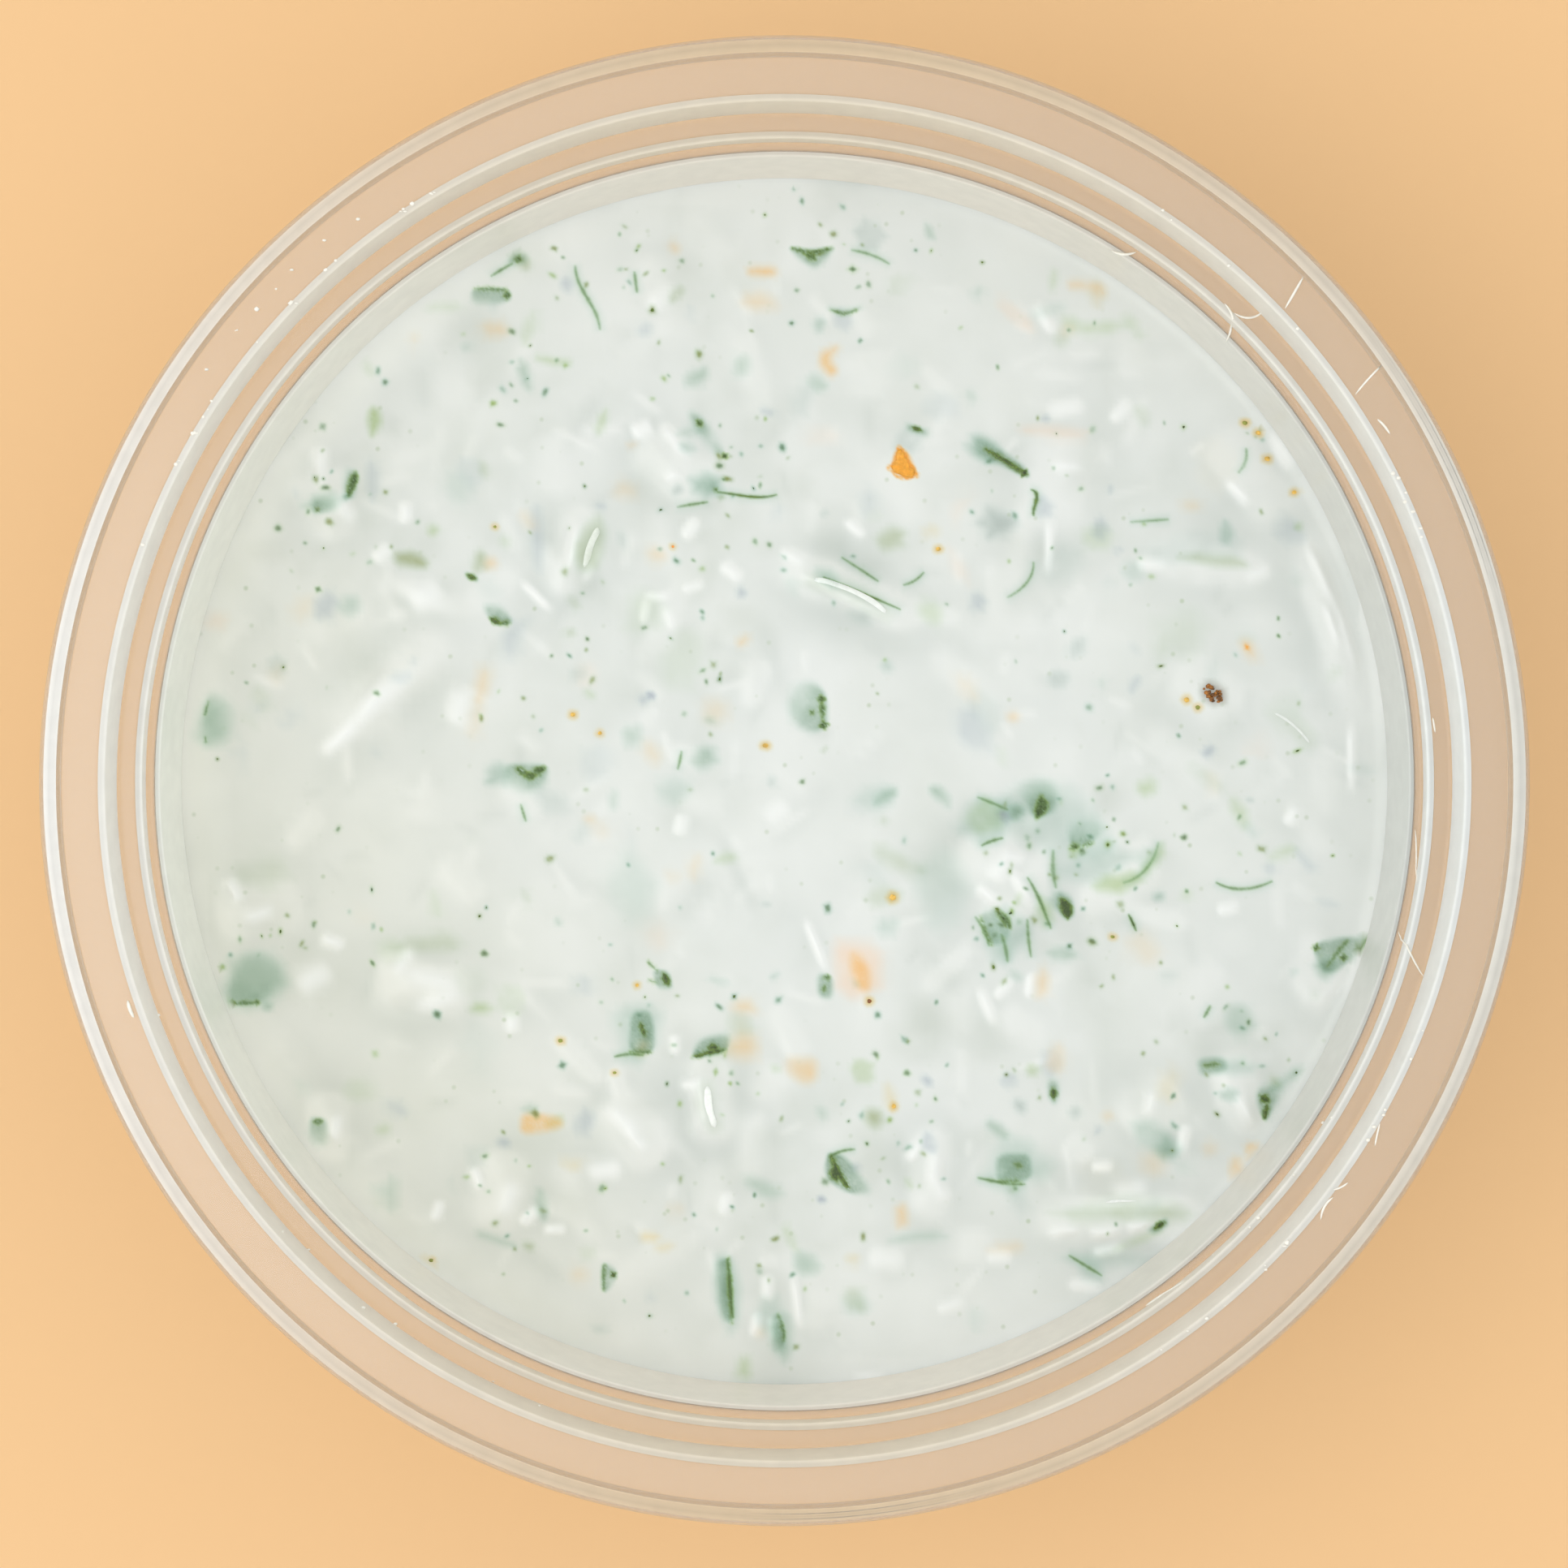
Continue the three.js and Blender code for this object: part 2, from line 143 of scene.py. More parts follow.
# Leaf pieces: depth beside the bare strokes, slope of the rest, then the outline and the bare strokes
# (width, points), where the leaf breaks the surface.
LEAVES = [
    (0.1, 0.16, [(-25.3, 39.9), (-22.2, 39.9), (-22.1, 38.8), (-25.2, 38.6)], [(0.45, [(-22.4, 39.6), (-22.4,
     39.1)]), (0.12, [(-25, 39.9), (-22.5, 39.85)])]),
    (0.12, 0.3, [(-22.4, 41.9), (-21.8, 42.8), (-20.8, 42.5), (-21, 41.9)], [(0.42, [(-21.7, 42.3), (-21.3,
     42.2)])]),
    (0.1, 0.25, [(0.3, 43.3), (2.2, 43), (4.2, 43.3), (3.3, 42.2), (2.5, 41.5), (1.3, 42.3)], [(0.3, [(0.7,
     43.15), (2.2, 42.75), (3.9, 43.15)]), (0.35, [(1.8, 42.7), (2.5, 42.3)])]),
    (0.16, 0.4, [(3.4, 38.4), (4.8, 37.6), (6.5, 38.5), (4.9, 38.15)], [(0.14, [(3.9, 38.1), (4.8, 37.75),
     (5.8, 38.1)])]),
    (0.16, 0.22, [(-7.7, 29.9), (-6.6, 29.5), (-4.7, 26.3), (-5.7, 26.7), (-7.3, 28.6)], [(0.4, [(-7, 29.2),
     (-6.7, 28.8)]), (0.45, [(-4.9, 26.45), (-4.7, 26.2)])]),
    (0.2, 0.25, [(-7.2, 24.9), (-5.6, 24.9), (-5.3, 23.4), (-7, 23.4)], [(0.2, [(-5.6, 23.6), (-5.4,
     23.5)])]),
    (0.06, 0.3, [(15.4, 27.9), (16.9, 27.4), (19.8, 25.2), (19.8, 24.5), (17.5, 25.6), (15.4, 26.5)], [(0.35,
     [(16.3, 26.9), (18, 25.9), (19.5, 24.9)]), (0.6, [(19.3, 25.05), (19.6, 24.85)])]),
    (0.06, 0.25, [(-24.4, 14.2), (-23, 14.2), (-21.8, 12.8), (-23.5, 12.6)], [(0.4, [(-23.8, 13.2), (-23,
     12.75)]), (0.22, [(-22.9, 12.75), (-22.2, 12.85)])]),
    (0.14, 0.14, [(1, 7.8), (2.6, 8), (3.5, 6.8), (3.5, 4.4), (2.4, 3.9), (0.8, 4.6), (0.2, 6.2)], [(0.5,
     [(3, 6.9), (3, 6.4)]), (0.34, [(3.05, 6.3), (3.15, 5.2)]), (0.62, [(3.2, 4.75), (3.3, 4.3)]), (0.25,
     [(2.2, 5.65), (2.35, 5.5)])]),
    (0.1, 0.26, [(-22.8, 1.2), (-21.8, 1.4), (-19, 1.35), (-19.4, -0.4), (-21, -1), (-22.6, -0.2)], [(0.42,
     [(-21.65, 1.05), (-20.7, 0.5)]), (0.42, [(-20.7, 0.5), (-19.4, 1.05)]), (0.5, [(-20.9, 0.4), (-20.2,
     0.45)])]),
    (0.06, 0.25, [(-10.6, -15.2), (-9.3, -15.4), (-9, -16.8), (-10.3, -16.7)], [(0.5, [(-9.75, -15.6),
     (-9.35, -16.5)]), (0.14, [(-10.3, -15.3), (-11, -14.65)]), (0.14, [(-10.3, -16.3), (-10.9, -16.1)])]),
    (0.06, 0.12, [(-12.4, -18.7), (-10.9, -18.5), (-10.4, -20.4), (-10.6, -22), (-12.6, -22)], [(0.2,
     [(-12.5, -21.9), (-10.8, -21.95)]), (0.3, [(-11.6, -19.6), (-11.3, -20.6)])]),
    (0.05, 0.22, [(-7.6, -22.5), (-6.8, -20.8), (-4.4, -20.4), (-4.6, -21.9)], [(0.28, [(-7.4, -22.35),
     (-5.8, -21.9), (-4.7, -21.75)]), (0.4, [(-6.1, -21.6), (-5.4, -21.5)])]),
    (0.1, 0.18, [(2.7, -15.6), (3.9, -15.7), (3.9, -17.6), (2.8, -17.4)], [(0.3, [(3.3, -15.9), (3.7,
     -15.8)]), (0.2, [(3.3, -16.6), (3.2, -17)])]),
    (0.1, 0.24, [(19.1, -0.4), (20.6, 0.3), (21.9, -0.1), (22.2, -2.2), (20.5, -3.1), (19.9, -2.5)], [(0.8,
     [(20.8, -1.3), (20.9, -2), (20.5, -2.9)])]),
    (0.1, 0.2, [(23, -3.6), (24.6, -2.9), (26, -3.6), (25, -4.9), (23.3, -5.6)], [(0.2, [(24.3, -5.2), (25,
     -5)]), (0.4, [(23.2, -5.4), (23.8, -5.2)])]),
    (0.05, 0.4, [(-25.8, 16.9), (-24.9, 16.6), (-24.8, 16.2), (-25.6, 16.4)], [(0.4, [(-25.6, 16.7), (-25,
     16.4)])]),
    (0.12, 0.2, [(15.8, -10.8), (17.3, -10.2), (18.5, -11.4), (18, -12.9), (16.8, -13.3)], [(0.18, [(15.9,
     -11), (16.3, -12.2), (16.8, -13.2)]), (0.5, [(17.2, -10.5), (17.9, -11.2), (18.3, -11.8)])]),
    (0.08, 0.3, [(22.1, -8.8), (23.3, -9.4), (23.5, -10.8), (22.9, -11.3), (22, -10.3)], [(0.8, [(22.4,
     -9.5), (22.9, -10.3), (23, -11.1)])]),
    (0.12, 0.1, [(42.7, -13.2), (45.2, -12.6), (47.3, -12.7), (46.4, -14), (44.4, -15.6), (43.5, -15.3)],
     [(0.42, [(42.9, -13.4), (43.2, -13.5)]), (0.34, [(47, -12.85), (46.4, -13.7)]), (0.36, [(45.1, -14.25),
     (45.5, -14.25)]), (0.14, [(44, -14.9), (45, -13.6), (45.6, -12.9)])]),
    (0.05, 0.16, [(3.6, -30), (3.3, -31.2), (3.5, -32.3), (5.3, -33.4), (7.1, -33.3), (6, -31.8), (5,
     -30.4)], [(0.6, [(3.9, -31.3), (4.3, -32.3)]), (0.45, [(3.8, -30.3), (4.3, -31.6), (5.2, -32.9)])]),
    (0.12, 0.06, [(17.2, -30.2), (19.9, -30.1), (20.1, -32.3), (17.2, -32.5)], [(0.22, [(17.4, -32.35),
     (19.2, -32.4)]), (0.2, [(18.7, -31), (19.2, -31.2)])]),
    (0.06, 0.3, [(38, -24.9), (40.8, -24.2), (39.8, -26.1), (38.9, -27.8)], [(0.55, [(38.6, -25.5), (39.2,
     -25.9)]), (0.38, [(39.1, -26.2), (38.9, -27.3)])]),
    (0.06, 0.35, [(21.4, -24.2), (22.1, -24.3), (22.3, -25.3), (21.9, -26.2), (21.4, -25.6)], [(0.42, [(21.8,
     -24.9), (21.8, -25.7)])]),
    (0.14, 0.16, [(-38.4, -27.2), (-37, -27.3), (-37, -29.4), (-38.3, -29.3)], [(0.3, [(-38, -27.6), (-37.4,
     -27.5)])]),
    (0.22, 0.1, [(-43.7, -14.1), (-41.1, -13.9), (-40.3, -16), (-42.2, -18.05), (-45, -18.1), (-44.9, -16)],
     [(0.2, [(-44.9, -18), (-42.6, -17.95)]), (0.32, [(-44.8, -18), (-44.5, -17.9)]), (0.32, [(-42.8, -17.9),
     (-42.6, -17.9)])]),
    (0.34, 0.14, [(-46.5, 7.2), (-45.2, 6.6), (-44.7, 4.4), (-45.8, 2.8), (-47, 2.9), (-47, 5)], [(0.06,
     [(-46.6, 6.4), (-46.9, 5.4)]), (0.05, [(-46.85, 3.6), (-46.8, 3.2)])]),
    (0.1, 0.2, [(-5.6, -39), (-4.4, -38.5), (-4.1, -43.9), (-5.2, -43.4)], [(0.22, [(-4.5, -38.6), (-4.35,
     -41.2), (-4.2, -43.8)])]),
    (0.08, 0.25, [(-1.2, -43.5), (-0.4, -43), (0.1, -44.6), (0, -46.5), (-1, -46)], [(0.14, [(-0.4, -43.2),
     (0, -44.6), (0, -45.3)])]),
    (0.08, 0.25, [(-14.8, -38.8), (-13.3, -39.8), (-14.7, -41.7)], [(0.42, [(-13.9, -39.8), (-13.7, -40.1)]),
     (0.16, [(-14.6, -39.2), (-14.6, -41.2)])]),
    (0.14, 0.3, [(-35.5, 25.3), (-34.4, 25.1), (-34.8, 22.9), (-35.6, 23.1)], [(0.5, [(-34.7, 25), (-34.9,
     24.2), (-35.2, 23.2)])]),
    (0.12, 0.2, [(-38.2, 22.9), (-36.2, 22.9), (-36.3, 21.9), (-38.1, 21.7)], [(0.3, [(-37.8, 21.9), (-37.7,
     22)])]),
    (0.06, 0.35, [(10, 29), (11.7, 28.4), (11.6, 27.9), (9.9, 28.4)], [(0.3, [(10.4, 28.65), (11.1,
     28.4)])]),
    (0.14, 0.14, [(33.4, -22.5), (35.6, -22.3), (35.9, -23.4), (33.8, -23.9)], [(0.2, [(34, -23), (35.2,
     -22.9)])]),
    (0.08, 0.3, [(29.4, -36.3), (30.9, -35.3), (31.1, -35.9), (30, -36.6)], [(0.36, [(30, -36.1), (30.7,
     -35.7)])]),
]
LEAF_THICKNESS = 0.16
LEAF_STEP = 0.13

# Carrot pieces: depth, outline, bare strokes.
CARROTS = [
    (0.24, [(-2.8, 41.6), (-0.7, 41.6), (-0.7, 40.9), (-2.9, 41)], []),
    (0.26, [(4.5, 35.3), (3, 34.7), (2.9, 33.7), (3.7, 32.8), (4.3, 33.2), (3.7, 34.2)], []),
    (0.03, [(9.3, 27), (10, 26.6), (10.7, 25), (10.2, 24.5), (8.7, 25.1), (8.8, 26)], [(0.9, [(9.3, 27),
     (9.6, 25.8), (9.9, 24.8)]), (1.2, [(8.6, 25.4), (9.6, 25.3), (10.7, 24.8)])]),
    (0.34, [(23.2, 40.4), (25.9, 40.3), (25.9, 39.3), (25.4, 39.9), (23.2, 40)], []),
    (0.22, [(37, 11.4), (37.8, 11.3), (38.3, 9.9), (37.5, 10.2)], [(0.2, [(37.4, 10.9), (37.5, 10.8)])]),
    (0.19, [(-21.2, -26.8), (-18.2, -27.2), (-17.9, -27.8), (-18.6, -28.2), (-21.3, -28.6)], []),
    (0.24, [(5.4, -13.8), (6.3, -14.2), (7.1, -15.8), (6.8, -17), (6.1, -16.8), (5.4, -15.4)], []),
    (0.34, [(0.3, -22.5), (2.6, -22.5), (2.5, -24), (1.7, -24.5), (0.4, -23.6)], []),
    (0.28, [(36.3, -30.5), (37.1, -30.6), (36.9, -31.8), (36.1, -31.9)], []),
    (0.22, [(37.5, -29.4), (38.2, -29.4), (38.2, -30.2), (37.4, -30.1)], []),
]
CARROT_HEIGHT = 1.1
CARROT_STEP = 0.2

# Raised ridges and strands that catch the light, with a painted highlight on their crests: x, y, half length,
# half width, height, heading in degrees.
RIDGES = [
    (-37.5, 25.5, 1.4, 0.4, 0.26, 90), (-35.6, 22.3, 1.2, 0.45, 0.34, -65),
    (-30.6, 21.8, 0.8, 0.32, 0.3, 90), (-32.5, 18.5, 0.8, 0.4, 0.22, 40), (-29, 15, 1.2, 0.8, 0.2, 20),
    (-33, 7, 1.8, 0.45, 0.2, 48), (-36, 3.4, 1.6, 0.4, 0.2, 40), (-32.8, 6.4, 4.6, 0.5, 0.14, 42),
    (-26.2, 6, 1.3, 0.6, 0.14, 80), (-20, 15, 1.4, 0.24, 0.22, -45), (-17, 19, 1.8, 0.34, 0.34, 84),
    (-15.6, 17.6, 1.4, 0.3, 0.2, 70), (-11.5, 28.5, 0.8, 0.5, 0.24, 20), (-8.8, 27.6, 1.5, 0.34, 0.26, -52),
    (-9, 24.7, 0.7, 0.35, 0.22, 30), (-7.5, 20.5, 0.9, 0.35, 0.22, 60), (-4.2, 17, 0.9, 0.35, 0.22, -40),
    (-7.3, 15.8, 0.8, 0.3, 0.2, 20), (-10.2, 15, 0.9, 0.26, 0.18, 0), (-11.2, 13.8, 0.9, 0.26, 0.18, 80),
    (-9.2, 13.2, 0.9, 0.26, 0.18, 110), (-10, 39.3, 1.2, 0.5, 0.18, 60), (-44.5, -8.8, 1, 0.4, 0.3, -60),
    (-42.5, -10.8, 1.2, 0.45, 0.28, 20), (-36.5, -13, 0.9, 0.35, 0.22, -20), (-38, -16, 1.4, 0.7, 0.18, 30),
    (-28.5, -16, 2.2, 0.6, 0.2, -14), (-28, -17.8, 1.8, 0.5, 0.14, 20), (-30.8, -14.5, 1.2, 0.4, 0.14, 60),
    (-22, -19.5, 0.8, 0.35, 0.2, 90), (-36.3, -28, 1, 0.36, 0.3, 80), (-22.3, -33.8, 1.3, 0.5, 0.22, 70),
    (-24.8, -32.2, 0.9, 0.34, 0.26, 110), (-20.5, -35.2, 0.9, 0.34, 0.24, 40),
    (-18.5, -36.3, 0.8, 0.3, 0.2, 0), (-28, -34.8, 0.8, 0.3, 0.2, 70), (-13, -27.5, 1.5, 0.5, 0.24, -42),
    (-12, -29, 1.1, 0.34, 0.24, -50), (-14.5, -31.5, 1.3, 0.6, 0.14, 10), (-8.8, -21.3, 0.7, 0.26, 0.22, 90),
    (-6.6, -26.2, 1.8, 0.5, 0.5, 100), (-7.4, -24.4, 0.9, 0.3, 0.24, 20), (-4.7, -34.2, 0.9, 0.32, 0.24, 80),
    (-8.3, -3.5, 0.8, 0.35, 0.22, 80), (-0.6, -2.5, 1, 0.6, 0.14, 40), (-1.3, -41, 0.9, 0.3, 0.24, 90),
    (-2.2, -44, 0.9, 0.28, 0.24, 80), (-0.8, -44.3, 0.9, 0.26, 0.22, 100), (5.8, 20.5, 0.9, 0.3, 0.2, -40),
    (0.8, 18.2, 1, 0.34, 0.22, -30), (6.4, 14.2, 2.6, 0.36, 0.42, -25), (2.8, 16, 1.4, 0.26, 0.26, -28),
    (22.8, 30.2, 1.4, 0.5, 0.16, 10), (27.3, 30, 1, 0.34, 0.2, 50), (21.2, 37.5, 1.2, 0.34, 0.24, -60),
    (23, 25.5, 1.1, 0.34, 0.22, 0), (21.5, 19, 2, 0.26, 0.18, 88), (36.9, 23.4, 1.2, 0.34, 0.3, -48),
    (40.2, 26.6, 1.4, 0.34, 0.28, -62), (29.8, 17.6, 1.1, 0.36, 0.24, 0), (38.3, 16.8, 1, 0.34, 0.18, 20),
    (43.6, 16.6, 2.6, 0.3, 0.34, -66), (45.6, 11.6, 2.6, 0.28, 0.3, -74), (44.4, 12.6, 1.6, 0.26, 0.22, -70),
    (46, 2, 2.4, 0.26, 0.22, 90), (41.2, -2.8, 0.8, 0.34, 0.26, 60), (36, -10.3, 0.8, 0.34, 0.24, 10),
    (17.6, -7, 1.2, 0.6, 0.42, 60), (19.3, -8.6, 1.4, 0.34, 0.34, -60), (16.5, -9.2, 1, 0.34, 0.3, -40),
    (18.6, -6, 0.9, 0.3, 0.26, -20), (2.6, -13.2, 1.8, 0.22, 0.26, -68), (16.5, -18.2, 1.4, 0.3, 0.26, -68),
    (20, -16.5, 0.9, 0.28, 0.22, 80), (17.8, -16.8, 0.9, 0.28, 0.22, 50), (44.2, -17, 1.5, 0.4, 0.3, 50),
    (29.8, -26, 1, 0.4, 0.3, 80), (37.4, -26.7, 1.4, 0.36, 0.34, -64), (32.4, -29, 1.1, 0.36, 0.28, 80),
    (12.2, -31.2, 1.2, 0.4, 0.34, 80), (12.6, -33, 1.1, 0.4, 0.28, 120), (10.6, -30, 0.8, 0.3, 0.24, 60),
    (25.8, -31.2, 0.8, 0.34, 0.22, 0), (28, -33, 1.4, 0.6, 0.14, 10), (22.7, -36.4, 1.1, 0.34, 0.26, 10),
    (26, -36.5, 1.1, 0.36, 0.34, 6), (28.8, -36, 0.9, 0.34, 0.3, 14), (26.3, -38, 1.2, 0.36, 0.26, 10),
    (24.3, -40.8, 1.1, 0.34, 0.26, 0), (32.4, -38, 2, 0.8, 0.3, 36), (8.3, -38.7, 1.3, 0.6, 0.24, -10),
    (17.5, -38.5, 0.9, 0.4, 0.2, 0), (13.5, -42.5, 1, 0.36, 0.2, 20), (1.1, -42.2, 1.8, 0.22, 0.22, -82),
    (6.8, -48.2, 1, 0.26, 0.2, 0), (28, -34.2, 4, 0.4, 0.24, 1),
]

# Shreds of cucumber: x, y, length, width, heading, sideways bow, height above the surface.
SHREDS = [
    (5.4, 15, 7.6, 0.9, -25, 0.3, 0.04), (-6, -26.3, 4, 1, 101, 0.2, 0.06),
    (41.1, 4.4, 4.8, 1, -40, 0.2, 0.02), (27.9, -34.9, 9.5, 1.6, 1, 0.4, -0.02),
    (-15.7, 18.9, 4.2, 1.2, 72, 0.2, 0.04),
]
SHRED_THICKNESS = 0.5

# Green threads of dill and leaf edges: width, depth, then points along each.
THREADS = [
    (0.22, 0.1, [(-16.9, 41.7), (-16.1, 39.4), (-15.4, 38.2), (-14.9, 36.6)]),
    (0.2, 0, [(-5.4, 23.4), (-3.9, 23.2), (-2.1, 23), (-0.6, 23.2)]),
    (0.16, 0.05, [(-8.6, 22.2), (-7.5, 22.4), (-6.2, 22.6)]),
    (0.3, 0, [(20, 23.6), (20.4, 23.3), (20.3, 22.3), (20.2, 21.5)]),
    (0.32, 0.05, [(-4.6, -38.7), (-4.4, -40.5), (-4.3, -42), (-4.1, -43.4)]),
    (0.2, 0.05, [(35, -8.2), (36.5, -8.7), (38.1, -8.6), (39.5, -8.1)]),
    (0.24, 0.05, [(15.7, -32.1), (17.1, -32.4), (18.4, -32.6), (19.5, -32.6)]),
    (0.18, 0.05, [(23.1, -38.4), (24.4, -39.2), (25.7, -40)]),
    (0.15, 0, [(3.2, 16.5), (5.9, 15.4), (9.4, 13.9)]),
    (0.12, 0.08, [(4.7, 18.1), (6.1, 17.2), (7.6, 16.2)]),
    (0.13, 0.05, [(9.7, 15.9), (10.5, 16.2), (11.3, 16.9)]),
    (0.14, 0.06, [(18.1, 14.9), (19.3, 15.7), (20.1, 16.9), (20.2, 17.7)]),
    (0.22, 0, [(27.9, -10.8), (28.2, -11.4), (28.5, -12.1)]),
    (0.18, 0.1, [(36.8, 25), (37.3, 25.8), (37.4, 26.9)]),
    (0.2, 0.1, [(-12.1, 41.2), (-12, 40.4), (-11.9, 39.6)]),
    (0.16, 0.05, [(-23.7, 40.9), (-22.9, 41.4), (-22, 41.9)]),
    (0.22, 0.05, [(-13.7, -22.3), (-12.5, -22.1), (-11.4, -22.2)]),
    (0.18, 0.05, [(3.7, -30.4), (4.5, -30), (5.7, -29.8)]),
    (0.16, 0.05, [(-8.6, 1), (-8.4, 1.8), (-8.3, 2.4)]), (0.18, 0.12, [(5.5, 43), (7.1, 42.6), (8.5, 41.9)]),
    (0.16, 0.05, [(-21.3, -1.9), (-21.1, -2.6), (-20.9, -3.2)]),
    (0.14, 0.12, [(28.1, 21), (29.7, 21.1), (31.1, 21.2)]),
    (0.2, 0.05, [(34, -19.1), (34.3, -18.6), (34.5, -18.2)]),
    (0.22, 0.08, [(15.5, -11), (16.1, -11.9), (16.6, -13.3)]),
    (0.2, 0.08, [(19.7, -11.2), (19.8, -12.8), (20, -14.2)]),
    (0.24, 0.06, [(19.7, -7.8), (20.4, -9), (21.1, -10.6), (21.6, -11.9)]),
    (0.12, 0.16, [(27.5, -8.2), (29, -7.4), (29.9, -6.2), (30.3, -5)]),
    (0.16, 0.1, [(15.7, -1.3), (17.2, -1.9), (18.1, -2.3)]),
    (0.2, 0.04, [(16, -5.2), (16.9, -4.8), (17.7, -4.6)]),
    (0.3, 0.14, [(21.8, -5.6), (21.8, -7.4), (22, -8.6)]),
    (0.22, 0.12, [(17.6, -12.4), (17.9, -13.4), (18.1, -14.6)]),
]

